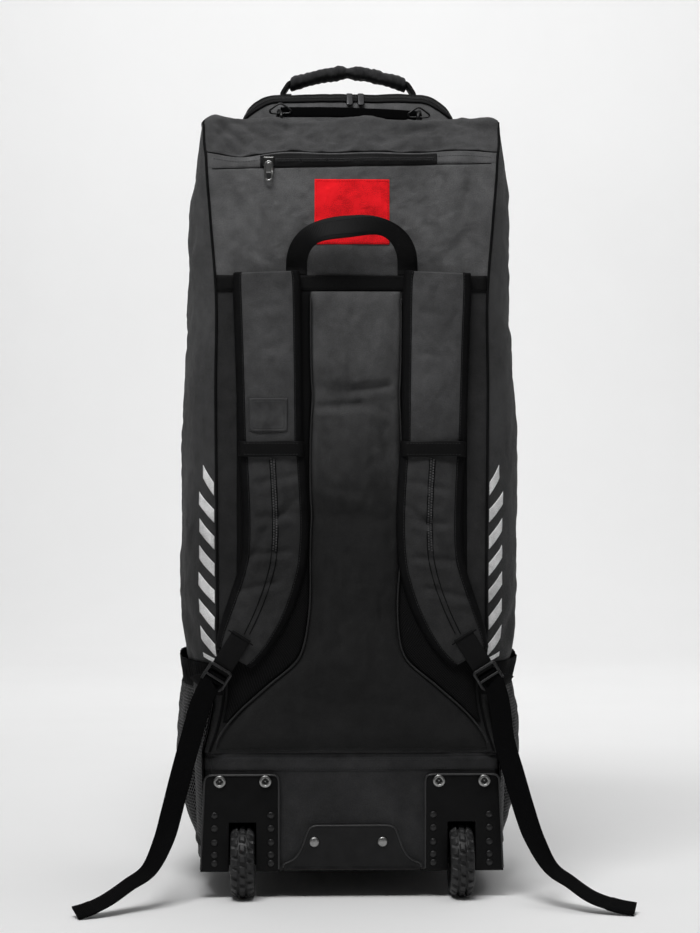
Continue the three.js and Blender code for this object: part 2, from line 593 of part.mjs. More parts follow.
// Back pocket: zip tape, slider and pull tab.
add('pocket_zip', upright(roundedBox(SLOT_ZIP_WIDTH / 2, SLOT_ZIP_Z - SLOT_ZIP_HEIGHT, SLOT_ZIP_Z, 1),
  ZIP_THICK, -GAP - ZIP_THICK), WEB_BLACK);
const sliderX = -SLOT_ZIP_WIDTH / 2 + 12;
const sliderZ = SLOT_ZIP_Z - SLOT_ZIP_HEIGHT / 2;
const zipFace = -GAP - ZIP_THICK;
add('pocket_slider', upright(roundedBox(7, -6, 6, 2), 4, zipFace - GAP - 4).translate(sliderX, 0, sliderZ),
  0x9a9a98, 0.35, 0.9);
function pullTab() {
  const shape = roundedBox(PULL_WIDTH / 2, -PULL_LENGTH, 0, PULL_WIDTH / 2 - 0.5);
  const eye = new THREE.Path();
  eye.absarc(0, -PULL_LENGTH + PULL_WIDTH * 0.6, PULL_WIDTH * 0.2, 0, Math.PI * 2);
  shape.holes.push(eye);
  return upright(shape, 2, zipFace - GAP - 4 - GAP - 2);
}
add('pocket_pull', pullTab().translate(sliderX, 0, sliderZ + 1), 0xa6a6a4, 0.35, 0.9);

// Badge patch, a bare woven label.
add('badge_patch', upright(roundedBox(PATCH_WIDTH / 2, PATCH_LOW, PATCH_HIGH, 1.5), PATCH_THICK,
  -GAP - PATCH_THICK), 0xe41e25);

// Pads on the back: height of the padding across a pad, as shares from edge to edge.
const PAD_COLUMNS = [[-1, 0.4], [-0.84, 0.88], [-0.3, 1], [0.3, 1], [0.84, 0.88], [1, 0.4]];
const centreHalf = (z) => {
  const share = shareOf(z);
  const straight = CENTRE_HALF * column(CENTRE_ROWS, 'straight', share);
  return straight + BACK_HALF * column(CENTRE_ROWS, 'flare', share);
};
const PAD_TOP = BAND_LOW - GAP;
const centreHeights = CENTRE_ROWS.map((row) => Math.min(row.height * BODY_TOP, PAD_TOP));
add('back_centre_pad', wallOf(centreHeights, PAD_COLUMNS, (z, [c, height], side) => {
  const pad = CENTRE_THICK * height * column(CENTRE_ROWS, 'pad', shareOf(z));
  return point(c * centreHalf(z), -GAP - (1 - side) * pad, z);
}), CLOTH_GREY);
const MESH_LOW = 0.225; // where the pads run out, as a share of BODY_TOP
const MESH_WIDEN = 0.372; // below this they widen to the seam
const meshHeights = [...centreHeights, MESH_WIDEN * BODY_TOP, MESH_LOW * BODY_TOP]
  .filter((z) => z >= MESH_LOW * BODY_TOP).sort((a, b) => a - b);
addPair('back_mesh', wallOf(meshHeights, PAD_COLUMNS, (z, [c, height], side) => {
  const inner = centreHalf(z) + 3 * GAP;
  const low = Math.min(1, Math.max(0, (MESH_WIDEN - shareOf(z)) / 0.06));
  const outer = MESH_HALF + low * (insideSeam(z) - MESH_HALF);
  return point((inner + outer) / 2 + (c * (outer - inner)) / 2, -GAP - (1 - side) * MESH_THICK * height, z);
}), WEB_BLACK);

// Piping along the back seams, from the boot over the hood slope to the ridge.
const pipeStand = PIPING_R + GAP;
const pipePath = [
  ...heightsBetween(BOOT_TOP + 2, HOOD_SEAM - 10).map((z) => point(backHalf(z) - PIPING_R, -pipeStand, z)),
  point(backHalf(HOOD_SEAM) - PIPING_R, -pipeStand * 1.05, HOOD_SEAM),
  ...[0.2, 0.5, 0.9].map((share) => outlinePoint(backHalf(BODY_TOP) - PIPING_R, HOOD_SLOPE * share, pipeStand)),
];
addPair('piping', cordAlong(pipePath, PIPING_R, 6), CLOTH_DARK);

// Shoulder straps: padded bands that lie on the mesh pads, joined by a cross web.
const STRAP_BACK = -GAP - MESH_THICK - 2 * GAP;
const STRAP_COLUMNS = [[-1, 0.35], [-0.82, 0.85], [-0.3, 1], [0.3, 1], [0.82, 0.85], [1, 0.35]];
function strapPart(table, thick, thinEnd) {
  const rows = table.map((row) => new THREE.Vector2(row.x * BACK_HALF, row.height * BODY_TOP));
  return wallOf(rows.map((_, i) => i), STRAP_COLUMNS, (i, [c, height], side) => {
    const along = rows[Math.min(rows.length - 1, i + 1)].clone().sub(rows[Math.max(0, i - 1)]).normalize();
    const half = table[i].half * BACK_HALF;
    const end = i === thinEnd ? 0.8 : 1;
    const x = rows[i].x - c * half * along.y;
    const z = rows[i].y + c * half * along.x;
    return point(x, STRAP_BACK - (1 - side) * thick * height * end, z);
  });
}
addPair('shoulder_strap', strapPart(STRAP_UPPER, STRAP_THICK, 0), CLOTH_GREY);
addPair('strap_lower', strapPart(STRAP_LOWER, STRAP_THICK * 0.85, STRAP_LOWER.length - 1), CLOTH_GREY);
const strapFace = STRAP_BACK - STRAP_THICK - GAP;
const [joinAbove, joinBelow] = [STRAP_UPPER[STRAP_UPPER.length - 1], STRAP_LOWER[0]];
const crossHalf = joinAbove.half * BACK_HALF + 2;
const crossX = ((joinAbove.x + joinBelow.x) / 2) * BACK_HALF;
addPair('strap_cross_web', wallOf([-0.5, 0.5], [-1, 1], (h, c, side) =>
  point(crossX + c * crossHalf, strapFace - (1 - side) * WEBBING_THICK, STRAP_JOIN + h * CROSS_WEB)), WEB_BLACK);
const patchLow = STRAP_JOIN + STRAP_PATCH_UP;
const patchX = BACK_HALF * column(STRAP_UPPER, 'x', shareOf(patchLow + STRAP_PATCH_HEIGHT / 2));
add('strap_patch', upright(roundedBox(STRAP_PATCH_HALF, patchLow, patchLow + STRAP_PATCH_HEIGHT, 2), STRAP_PATCH_THICK,
  strapFace - STRAP_PATCH_THICK).translate(-patchX, 0, 0), 0x3a3a3b);

// Buckles: each ladder lock sits between the short web on the strap's end and the long web that
// comes from the side seam and hangs as a tail.
const LOCK_FRONT = STRAP_BACK - 9;
const lockAlong = new THREE.Vector3(Math.sin(LOCK_TURN), 0, -Math.cos(LOCK_TURN));
const lockAcross = new THREE.Vector3(Math.cos(LOCK_TURN), 0, Math.sin(LOCK_TURN));
function ladderLock() {
  const frame = roundedBox(LOCK_WIDTH / 2, -LOCK_HEIGHT / 2, LOCK_HEIGHT / 2, 3);
  const [near, far, across] = [LOCK_BAR / 2, LOCK_HEIGHT / 2 - LOCK_RIM, LOCK_SLOT / 2];
  [[-far, -near], [near, far]].forEach(([low, high]) => {
    const slot = new THREE.Path();
    slot.setFromPoints([[-across, low], [across, low], [across, high], [-across, high]].map((p) => new THREE.Vector2(...p)));
    frame.holes.push(slot);
  });
  return upright(frame, LOCK_THICK, LOCK_FRONT).rotateY(-LOCK_TURN).translate(LOCK_X, 0, LOCK_Z);
}
addPair('ladder_lock', ladderLock(), 0x101010, 0.5);
const halfWeb = (vector) => vector.clone().multiplyScalar(WEBBING / 2);
const webFace = LOCK_FRONT - GAP - WEBBING_THICK / 2;
const lockPoint = (along, y) => point(LOCK_X, 0, LOCK_Z).addScaledVector(lockAlong, along).setY(y);
const strapEndY = STRAP_BACK - STRAP_THICK * 0.85 - GAP - WEBBING_THICK;
const outward = (thick) => point(0, -thick / 2, 0);
addPair('strap_end_web', ribbon(END_WEB_ROWS.map(({ before, place }) => ({
  middle: lockPoint(-before * LOCK_HEIGHT, strapEndY + (webFace - strapEndY) * place),
  across: halfWeb(lockAcross),
  through: outward(WEBBING_THICK),
}))), WEB_BLACK);
const anchorY = LOCK_FRONT + LOCK_THICK + GAP + WEBBING_THICK / 2;
const anchorEnd = point(bodyHalf(POCKET_TOP, POCKET_BACK - 6) + 2, POCKET_BACK - 6, POCKET_TOP);
const anchorStart = lockPoint(6, anchorY);
const anchorRun = anchorEnd.clone().sub(anchorStart);
const anchorAcross = (t) => halfWeb(lockAcross.clone().lerp(point(0, 0, 1), t).normalize());
addPair('anchor_web', ribbon([0, 0.35, 0.7, 1].map((t) => {
  const across = anchorAcross(Math.min(1, 0.3 + t));
  const through = across.clone().cross(anchorRun).normalize().multiplyScalar(WEBBING_THICK / 2);
  const middle = anchorStart.clone().addScaledVector(anchorRun, t);
  if (middle.y > 0) middle.x = Math.max(middle.x, bodyHalf(middle.z + WEBBING / 2, middle.y) + 2);
  return { middle, across, through };
})), WEB_BLACK);
addPair('strap_tail', ribbon(TAIL_ROWS.map((row, i) => {
  const slant = row.slant;
  const last = TAIL_ROWS.length - 1;
  const across = point(Math.cos(slant), 0, Math.sin(slant)).multiplyScalar((row.wide * WEBBING) / 2);
  const thick = i >= last - 1 ? TAIL_THICK : WEBBING_THICK;
  const through = i === last ? point(0, 0.4, 0.92).multiplyScalar(thick / 2) : outward(thick);
  const lift = i === last ? TAIL_THICK * 0.5 : 0;
  const middle = point(row.x * BACK_HALF, -row.out * WEBBING, row.height * BODY_TOP + lift);
  return { middle, across, through };
})), WEB_BLACK);

// Rear haul handle: a web arch that stands off the upper panel.
function haulHandle() {
  const arch = steps(-1, 1, 12).map((t) => {
    const angle = (1 - Math.abs(t)) * (Math.PI / 2);
    const x = Math.sign(t) * LOOP_HALF * Math.cos(angle) ** 0.8;
    const stand = GAP + WEBBING_THICK + LOOP_STAND * Math.sin(angle);
    return point(t === 0 ? 0 : x, -stand, BAND_HIGH + GAP + LOOP_FOOT + LOOP_RISE * Math.sin(angle));
  });
  const foot = (side) => point(side * LOOP_HALF, -GAP - WEBBING_THICK / 2, BAND_HIGH + GAP);
  const path = [foot(-1), ...arch, foot(1)];
  return ribbon(path.map((middle, i) => {
    const along = path[Math.min(path.length - 1, i + 1)].clone().sub(path[Math.max(0, i - 1)]);
    const across = point(along.z, 0, -along.x).normalize().multiplyScalar(WEBBING / 2);
    return { middle, across, through: outward(WEBBING_THICK) };
  }));
}
add('haul_handle', haulHandle(), WEB_BLACK);

// Top grab handle: a padded grip between two web legs that are sewn to the lid.
const gripPoint = (t) => point((t * GRIP_SPAN) / 2, GRIP_Y, GRIP_END_Z + GRIP_ARCH * (1 - t * t));
function gripGeometry() {
  return loft(steps(-1, 1, 10).map((t) => {
    const pinch = 1 - 0.12 * Math.exp(-((t / 0.12) ** 2));
    return roundRow(10).map(([a, b]) =>
      gripPoint(t).add(point(0, (a * GRIP_WIDTH) / 2, (b * GRIP_THICK * pinch) / 2)));
  }));
}
add('top_handle_grip', gripGeometry(), WEB_BLACK);
const legTop = gripPoint(1).add(point(GAP, 0, 0));
const legFootZ = BODY_TOP + LID_RISE + GAP + WEBBING_THICK / 2;
const legSide = point(-0.96, 0, -0.28); // the face that was on top, once the web has turned up
const legCorner = point(-1.28, 0, 1); // between the two, as long as a mitre needs
addPair('top_handle_leg', ribbon([
  [LID_HALF - LID_CORNER - LEG_SEWN, legFootZ, point(0, 0, 1)], [legTop.x + LEG_OUT, legFootZ, legCorner],
  [legTop.x + LEG_OUT - 1, legFootZ + LEG_BEND, legSide], [legTop.x + WEBBING_THICK * 0.6, legTop.z, legSide],
].map(([x, z, side]) => ({
  middle: point(x, GRIP_Y, z),
  across: point(0, WEBBING / 2, 0),
  through: side.clone().multiplyScalar(WEBBING_THICK / 2),
}))), WEB_BLACK);

// Low haul strap on the shoulder, between two wire rings.
const ringZ = BODY_TOP + GAP + RING_WIRE + RING_R;
const RING_Y = LID_BACK - 24;
addPair('wire_ring', joined(new THREE.TorusGeometry(RING_R, RING_WIRE, 6, 14)).rotateY(Math.PI / 2)
  .translate(RING_X, RING_Y, ringZ), 0x2a2a2a, 0.4, 0.8);
add('top_haul_strap', ribbon(steps(-1, 1, 8).map((t) => ({
  middle: point(t * (RING_X - RING_WIRE - GAP), RING_Y, ringZ - 3 + 4 * (1 - t * t)),
  across: point(0, WEBBING * 0.24, WEBBING * 0.2),
  through: point(0, -0.64, 0.77).multiplyScalar(WEBBING_THICK / 2),
}))), WEB_BLACK);

// Net pockets on the sides, each with an elastic band along its mouth.
const POCKET_SEAT = 1; // stand of its sewn edges off the side
const POCKET_ROWS = [
  { height: 0, swell: 0.02 }, { height: 0.08, swell: 0.45 }, { height: 0.25, swell: 0.85 }, { height: 0.5, swell: 1 },
  { height: 0.75, swell: 0.8 }, { height: 0.92, swell: 0.5 }, { height: 1, swell: 0.35 },
];
const pocketZ = (v) => POCKET_BASE + v * (POCKET_TOP - GAP - POCKET_BASE);
const POCKET_COLUMNS = [0, 0.12, 0.3, 0.5, 0.7, 0.88, 1];
addPair('mesh_pocket', wallOf(steps(0, 1, 9), POCKET_COLUMNS, (v, u, side) => {
  const y = POCKET_BACK + u * (POCKET_FRONT - POCKET_BACK);
  const z = pocketZ(v);
  const swell = POCKET_SWELL * column(POCKET_ROWS, 'swell', v) * (1 - Math.abs(2 * u - 1) ** 3);
  return point(wallHalf(z, y) + POCKET_SEAT + NET * (1 - side) + swell, y, z);
}), WEB_BLACK);
addPair('pocket_elastic', wallOf([POCKET_TOP, POCKET_TOP + ELASTIC_HEIGHT], POCKET_COLUMNS, (z, u, side) => {
  const y = POCKET_BACK + u * (POCKET_FRONT - POCKET_BACK);
  const stand = ELASTIC_STAND * (1 - Math.abs(2 * u - 1) ** 3);
  return point(bodyHalf(z, y) + POCKET_SEAT + NET * (1 - side) + stand, y, z);
}), WEB_BLACK);

// Wheel housings: a plate on the boot's back with a slot, and a well behind it that holds the axle.
function housing() {
  const flare = new THREE.Shape();
  flare.moveTo(-PLATE_HALF, BOOT_BASE);
  flare.lineTo(PLATE_HALF + PLATE_FLARE, BOOT_BASE);
  flare.lineTo(PLATE_HALF, PLATE_TOP - PLATE_CORNER);
  flare.absarc(PLATE_HALF - PLATE_CORNER, PLATE_TOP - PLATE_CORNER, PLATE_CORNER, 0, Math.PI / 2);
  flare.absarc(-PLATE_HALF + PLATE_CORNER, PLATE_TOP - PLATE_CORNER, PLATE_CORNER, Math.PI / 2, Math.PI);
  flare.closePath();
  const plate = asSolid(upright(flare, PLATE_THICK, -GAP - PLATE_THICK));
  const well = asSolid(block(-HOUSING_HALF, HOUSING_HALF, -GAP - PLATE_THICK / 2, WELL_DEPTH + HOUSING_WALL,
    BOOT_BASE, WELL_TOP + HOUSING_WALL));
  const space = asSolid(block(-WELL_HALF, WELL_HALF, -PLATE_THICK - 5, WELL_DEPTH, 0, WELL_TOP));
  const bore = asSolid(rodX(AXLE_R + BORE_SLACK, -HOUSING_HALF - 1, HOUSING_HALF + 1, AXLE_Y, WHEEL_R, 16));
  return asGeometry(plate.add(well).subtract(space).subtract(bore)).translate(WHEEL_X, 0, 0);
}
addPair('wheel_housing', housing(), WEB_BLACK, 0.6);
const screwHead = () => joined(new THREE.LatheGeometry(
  [[0, 0], [SCREW_R, 0], [SCREW_R, 0.35 * SCREW_H], [0.7 * SCREW_R, 0.85 * SCREW_H], [0, SCREW_H]]
    .map((p) => new THREE.Vector2(...p)), 14,
)).rotateX(Math.PI);
[1, -1].forEach((side) => ['inner', 'outer'].forEach((place, i) => {
  const x = side * (WHEEL_X + (i - 0.5) * SCREW_APART);
  const head = facingOut(screwHead().translate(x, -GAP - PLATE_THICK - GAP, PLATE_TOP - SCREW_DOWN));
  add(`screw_${place}_${side > 0 ? 'right' : 'left'}`, head, 0xb8b8b6, 0.25, 1);
}));

// Kick plate between the housings.
function kickPlate() {
  const shape = new THREE.Shape();
  shape.moveTo(-KICK_BASE_HALF + 2, BOOT_BASE + 1);
  shape.lineTo(KICK_BASE_HALF - 2, BOOT_BASE + 1);
  shape.bezierCurveTo(KICK_BASE_HALF - 20, BOOT_BASE + 10, KICK_TOP_HALF + 18, KICK_TOP, KICK_TOP_HALF, KICK_TOP);
  shape.lineTo(-KICK_TOP_HALF, KICK_TOP);
  shape.bezierCurveTo(-KICK_TOP_HALF - 18, KICK_TOP, -KICK_BASE_HALF + 20, BOOT_BASE + 10,
    -KICK_BASE_HALF + 2, BOOT_BASE + 1);
  return upright(shape, KICK_THICK, -GAP - KICK_THICK, 0.6);
}
add('kick_plate', kickPlate(), 0x1d1d1e, 0.6);

// Wheels: a tyre on a hub whose axle stubs turn in the housing.
const lathed = (pairs, sides) => facingOut(joined(
  new THREE.LatheGeometry(pairs.map((p) => new THREE.Vector2(...p)), sides)).rotateZ(-Math.PI / 2));
const half = TYRE_WIDTH / 2;
const tyreProfile = [
  [RIM_R + GAP, -0.8 * half], [WHEEL_R - 7, -half], [WHEEL_R - 2, -0.86 * half], [WHEEL_R, -0.5 * half],
  [WHEEL_R, 0.5 * half], [WHEEL_R - 2, 0.86 * half], [WHEEL_R - 7, half], [RIM_R + GAP, 0.8 * half],
  [RIM_R + GAP, -0.8 * half],
];
addPair('tyre', lathed(tyreProfile, 24).translate(WHEEL_X, AXLE_Y, WHEEL_R), 0x1a1a1a, 0.9);
const stub = HOUSING_HALF - 0.3;
const hubProfile = [
  [0, -stub], [AXLE_R, -stub], [AXLE_R, -0.95 * half], [2 * AXLE_R, -0.95 * half], [0.85 * RIM_R, -0.6 * half],
  [RIM_R, -0.8 * half], [RIM_R, 0.8 * half], [0.85 * RIM_R, 0.6 * half], [2 * AXLE_R, 0.95 * half],
  [AXLE_R, 0.95 * half], [AXLE_R, stub], [0, stub],
];
addPair('wheel_hub', lathed(hubProfile, 16).translate(WHEEL_X, AXLE_Y, WHEEL_R), 0x2b2b2c, 0.5);

// Front skid: the bag stands on it and on its wheels.
const skidY = BODY_DEPTH - SKID_IN;
const skidSection = new THREE.Shape();
skidSection.moveTo(-SKID_DEPTH / 2 + SKID_CHAMFER, 0);
skidSection.lineTo(SKID_DEPTH / 2 - SKID_CHAMFER, 0);
skidSection.lineTo(SKID_DEPTH / 2, SKID_FOOT);
skidSection.lineTo(SKID_DEPTH / 2, BOOT_BASE - GAP);
skidSection.lineTo(-SKID_DEPTH / 2, BOOT_BASE - GAP);
skidSection.lineTo(-SKID_DEPTH / 2, SKID_FOOT);
skidSection.closePath();
add('front_skid', joined(new THREE.ExtrudeGeometry(skidSection, { depth: SKID_LENGTH, bevelEnabled: false })
  .rotateX(Math.PI / 2).rotateZ(Math.PI / 2).translate(-SKID_LENGTH / 2, skidY, 0)), 0x1d1d1e, 0.6);

// The origin is on the floor, under the middle of the whole outline.
bag.updateMatrixWorld(true);
const whole = new THREE.Box3().setFromObject(bag);
bag.position.set(0, -(whole.min.y + whole.max.y) / 2, 0);

export default bag;
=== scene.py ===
# %% [markdown]
# # A wheeled cricket kit bag, dressed around its construction model
# The bag stands upright, with its backpack straps towards the camera. The construction model
# gives every size and place. Here each soft wall becomes a finely curved surface, worked out
# with numpy, and each finish is a procedural material.
# Bag coordinates are x to the right, depth from the back panel into the bag, and z up.

import bmesh
import bpy
import numpy as np
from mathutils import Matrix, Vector


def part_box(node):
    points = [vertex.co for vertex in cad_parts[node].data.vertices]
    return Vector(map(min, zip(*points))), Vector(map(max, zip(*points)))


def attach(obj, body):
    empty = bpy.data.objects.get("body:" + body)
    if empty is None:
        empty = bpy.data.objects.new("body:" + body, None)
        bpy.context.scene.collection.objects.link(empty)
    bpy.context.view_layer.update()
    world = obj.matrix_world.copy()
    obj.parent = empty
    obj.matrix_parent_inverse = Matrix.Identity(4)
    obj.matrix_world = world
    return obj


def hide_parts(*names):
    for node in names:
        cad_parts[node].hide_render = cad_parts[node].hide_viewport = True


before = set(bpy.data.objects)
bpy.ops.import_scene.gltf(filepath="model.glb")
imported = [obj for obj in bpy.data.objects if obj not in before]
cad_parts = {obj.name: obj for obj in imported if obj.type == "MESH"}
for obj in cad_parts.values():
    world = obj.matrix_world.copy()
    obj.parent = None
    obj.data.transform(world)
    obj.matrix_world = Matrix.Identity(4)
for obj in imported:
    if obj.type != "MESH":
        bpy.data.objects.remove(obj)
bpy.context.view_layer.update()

MM = 0.001
BACK_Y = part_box("back_panel")[0].y
BOOT_LOW, BOOT_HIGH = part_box("boot")
BODY_DEPTH = BOOT_HIGH.y - BOOT_LOW.y
BOOT_TOP = BOOT_HIGH.z
BOOT_BASE = BOOT_LOW.z
BODY_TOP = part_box("hood")[1].z
LID_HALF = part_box("front_lid")[1].x
LID_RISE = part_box("front_lid")[1].z - BODY_TOP
LID_FRONT_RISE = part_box("front_lid")[1].y - BACK_Y - BODY_DEPTH
LID_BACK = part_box("front_lid")[0].y - BACK_Y
BACK_HALF = 163 * MM
HOOD_SEAM = 886 * MM
RIDGE_IN = 20 * MM
FRONT_ROUND = 50 * MM
LID_CORNER = 43 * MM
LID_ROUND = 26 * MM
LID_END = 4 * MM
CLOTH = 2.2 * MM
WEBBING = 25 * MM
WEB_THICK = 1.5 * MM
print(f"body {BODY_DEPTH:.3f} deep, {BODY_TOP:.3f} to the shoulder, back at y {BACK_Y:.4f}")

# %% [markdown]
# ## Smooth curves through short tables
# A sewn bag has no straight edges for long. Its half width is measured at a dozen heights, and a
# cubic goes through them, so the panels bend as cloth does between its seams.


# %% Curves through tables, and the body's width at any height and depth
def level(count, low, high):
    """Evenly spaced numbers from low to high."""
    return np.linspace(low, high, count)


def ramp(value, reach):
    """A value's share of reach, kept between 0 and 1."""
    return np.clip(value / reach, 0, 1)


def hump(value, width):
    """A bell of height 1 round the value 0."""
    return np.exp(-((value / width) ** 2))


def smooth(stations, values, x):
    """A cubic through the stations; the slope at each is the slope between its neighbours."""
    s, v = np.asarray(stations, float), np.asarray(values, float)
    slope = np.gradient(v, s)
    i = np.clip(np.searchsorted(s, x) - 1, 0, len(s) - 2)
    step = s[i + 1] - s[i]
    t = ramp(x - s[i], step)
    start = (1 + 2 * t) * (1 - t) ** 2 * v[i] + t * (1 - t) ** 2 * step * slope[i]
    return start + t**2 * (3 - 2 * t) * v[i + 1] + t**2 * (t - 1) * step * slope[i + 1]


def curve(rows, count):
    """A smooth curve through table rows, each column on its own, as count rows."""
    rows = np.asarray(rows, float)
    at = level(count, 0, len(rows) - 1)
    return np.stack([smooth(np.arange(len(rows)), column, at) for column in rows.T], -1)


def spread(columns, rows, left=-1, low=0):
    """The two coordinates of a surface: from left to 1 across it, and from low to 1 along it."""
    return np.meshgrid(level(columns, left, 1), level(rows, low, 1))


WIDTH_HEIGHT = [0.186, 0.22, 0.266, 0.323, 0.375, 0.483, 0.574, 0.652, 0.774, 0.866, 0.953, 1.0]
WIDTH_BACK = [1.05, 0.985, 0.94, 0.988, 0.99, 0.994, 1.0, 1.003, 1.0, 1.04, 1.073, 1.067]
WIDTH_SIDE = [1.165, 1.185, 1.21, 1.252, 1.275, 1.276, 1.27, 1.25, 1.22, 1.207, 1.15, 1.11]
WIDTH_FRONT = [1.04, 1.03, 1.02, 1.01, 1.005, 1.0, 1.0, 1.0, 1.01, 1.04, 1.07, 1.075]
BOOT_TUCK = 0.035


def width_at(column, z):
    return BACK_HALF * smooth(WIDTH_HEIGHT, column, z / BODY_TOP)


def back_half(z):
    return width_at(WIDTH_BACK, z)


def body_half(z, depth):
    """Half width: a straight run from the back seam to the front seam, plus the side's swell."""
    u = ramp(depth, BODY_DEPTH)
    above_boot = np.maximum(z, BOOT_TOP)
    back, side, front = (width_at(c, above_boot) for c in (WIDTH_BACK, WIDTH_SIDE, WIDTH_FRONT))
    swell = 1 - np.abs(2 * u - 1) ** 4
    tuck = BOOT_TUCK * np.maximum(0, BOOT_TOP - z)
    return back + (front - back) * u + (side - (back + front) / 2) * swell - tuck


HOOD_SLOPE = np.hypot(RIDGE_IN, BODY_TOP - HOOD_SEAM)
SHOULDER = BODY_DEPTH - FRONT_ROUND - RIDGE_IN
QUARTER = FRONT_ROUND * np.pi / 2
DROP = BODY_TOP - FRONT_ROUND - BOOT_TOP - 0.4 * MM
OUTLINE = HOOD_SLOPE + SHOULDER + QUARTER + DROP


def outline(s):
    """Side view of the bag by distance s: up the hood, along the shoulder, round and down the
    front. Returns depth and height, and the outward normal."""
    t = ramp(s, HOOD_SLOPE)
    along = np.clip(s - HOOD_SLOPE, 0, SHOULDER)
    turn = np.clip((s - HOOD_SLOPE - SHOULDER) / FRONT_ROUND, 0, np.pi / 2)
    down = np.maximum(0, s - HOOD_SLOPE - SHOULDER - QUARTER)
    depth = RIDGE_IN * t + along + FRONT_ROUND * np.sin(turn)
    height = HOOD_SEAM + (BODY_TOP - HOOD_SEAM) * t - FRONT_ROUND * (1 - np.cos(turn)) - down
    lean = np.where(s < HOOD_SLOPE, 1.0, 0.0)
    ny = np.sin(turn) - lean * (BODY_TOP - HOOD_SEAM) / HOOD_SLOPE
    nz = np.where(lean > 0, RIDGE_IN / HOOD_SLOPE, np.cos(turn))
    return depth, height, ny, nz


# %% [markdown]
# ## From arrays to meshes
# Every surface here is an array of points, row by row. One function turns such an array into a
# mesh with a UV map in metres, so that a weave keeps its real scale on every piece.


# %% Mesh helpers: surfaces, tubes and scattered copies
def as_array(*parts):
    return np.stack(np.broadcast_arrays(*parts), axis=-1).astype(float)


def placed(name, data):
    """An object of that data, in the scene."""
    made = bpy.data.objects.new(name, data)
    bpy.context.scene.collection.objects.link(made)
    return made


def build(name, points, faces, uv=None):
    """A mesh object from bag coordinates; uv holds one pair for each point."""
    world = np.asarray(points, float).reshape(-1, 3) + (0, BACK_Y, 0)
    mesh = bpy.data.meshes.new(name)
    mesh.from_pydata(world, [], [list(face) for face in faces])
    if uv is not None:
        layer = mesh.uv_layers.new(name="UVMap")
        corners = np.zeros(len(mesh.loops), np.int32)
        mesh.loops.foreach_get("vertex_index", corners)
        layer.data.foreach_set("uv", np.asarray(uv, float).reshape(-1, 2)[corners].ravel())
    mesh.update()
    return placed(name, mesh)


def ringed(points):
    """A grid whose first column comes once more at the end, so that it closes."""
    return np.concatenate([points, points[:, :1]], axis=1)


def quads(rows, columns):
    """Corner numbers of the quads between the points of a grid."""
    corner = (np.arange(rows - 1)[:, None] * columns + np.arange(columns - 1)).reshape(-1, 1)
    return corner + np.array([0, 1, columns + 1, columns])


def lengths(points):
    """UV in metres: distance along the columns, measured on the middle row, and along the rows."""
    across = np.cumsum(np.linalg.norm(np.diff(points, axis=1, prepend=points[:, :1]), axis=-1), 1)
    along = np.cumsum(np.linalg.norm(np.diff(points, axis=0, prepend=points[:1]), axis=-1), 0)
    centred = across - across[:, -1:] / 2
    middle = along[:, points.shape[1] // 2]
    return np.stack([centred, np.broadcast_to(middle[:, None], centred.shape)], -1)


def turned_out(points, faces, away):
    """Faces turned so that their normals point along away, a vector or a point array."""
    flat = points.reshape(-1, 3)
    a, b, c = (flat[faces[:, i]] for i in range(3))
    normal = np.cross(b - a, c - a)
    return faces if np.sum(normal * away) > 0 else faces[:, ::-1]


MIDDLE = np.array([0, BODY_DEPTH / 2, 0.5])


def sheet_mesh(name, points, out=None, keep=None):
    """An open surface facing out, or away from the middle of the bag. keep masks its faces."""
    faces = quads(*points.shape[:2])
    centres = points.reshape(-1, 3)[faces].mean(1)
    away = np.asarray(out, float) if out is not None else centres - MIDDLE
    faces = turned_out(points, faces, away)
    if keep is not None:
        faces = faces[keep(centres)]
    return build(name, points, faces, lengths(points))


def closed(piece):
    """Equal points merged and the faces turned outwards, for a shape with no open edge."""
    made = bmesh.new()
    made.from_mesh(piece.data)
    bmesh.ops.remove_doubles(made, verts=made.verts, dist=1e-6)
    bmesh.ops.recalc_face_normals(made, faces=made.faces)
    made.to_mesh(piece.data)
    made.free()
    return piece


def tube_mesh(name, rings):
    """A closed body through rings [ring, corner, xyz], with a face over each end."""
    rings = ringed(rings)
    rows, columns = rings.shape[:2]
    first = np.arange(columns - 1)
    ends = [first.tolist(), (first + (rows - 1) * columns).tolist()]
    return closed(build(name, rings, quads(rows, columns).tolist() + ends, lengths(rings)))


def scatter(name, base, faces, places, frames):
    """Copies of one small shape, at places and turned by frames, as one mesh."""
    points = np.einsum("vk,nkj->nvj", np.asarray(base, float), frames) + places[:, None, :]
    count = len(places)
    faces = np.asarray(faces)
    numbers = (faces[None] + np.arange(count)[:, None, None] * len(base)).reshape(-1, faces.shape[1])
    return build(name, points, numbers)


def mesh_of(name, made):
    """A mesh with what a bmesh holds, which is then freed."""
    mesh = bpy.data.meshes.new(name)
    made.to_mesh(mesh)
    made.free()
    return mesh


def as_one(name, parts):
    """One object from several, which then go."""
    made = bmesh.new()
    for part in parts:
        made.from_mesh(part.data)
        bpy.data.objects.remove(part)
    return placed(name, mesh_of(name, made))


def distances(path):
    """Distance along a path at each of its points."""
    return np.concatenate([[0], np.cumsum(np.linalg.norm(np.diff(path, axis=0), axis=1))])


def resampled(path, at):
    """Points of a path at given distances along it."""
    run = distances(path)
    return np.stack([np.interp(at, run, column) for column in path.T], -1)


def averaged(rows, times):
    """Rows after each has been averaged with its neighbours so many times; the ends stay."""
    for _ in range(times):
        rows[1:-1] = (rows[:-2] + rows[1:-1] + rows[2:]) / 3
    return rows


def evened(path, count):
    """The same path with evenly spaced points, its corners averaged a little."""
    return averaged(resampled(path, level(count, 0, distances(path)[-1])), 4)


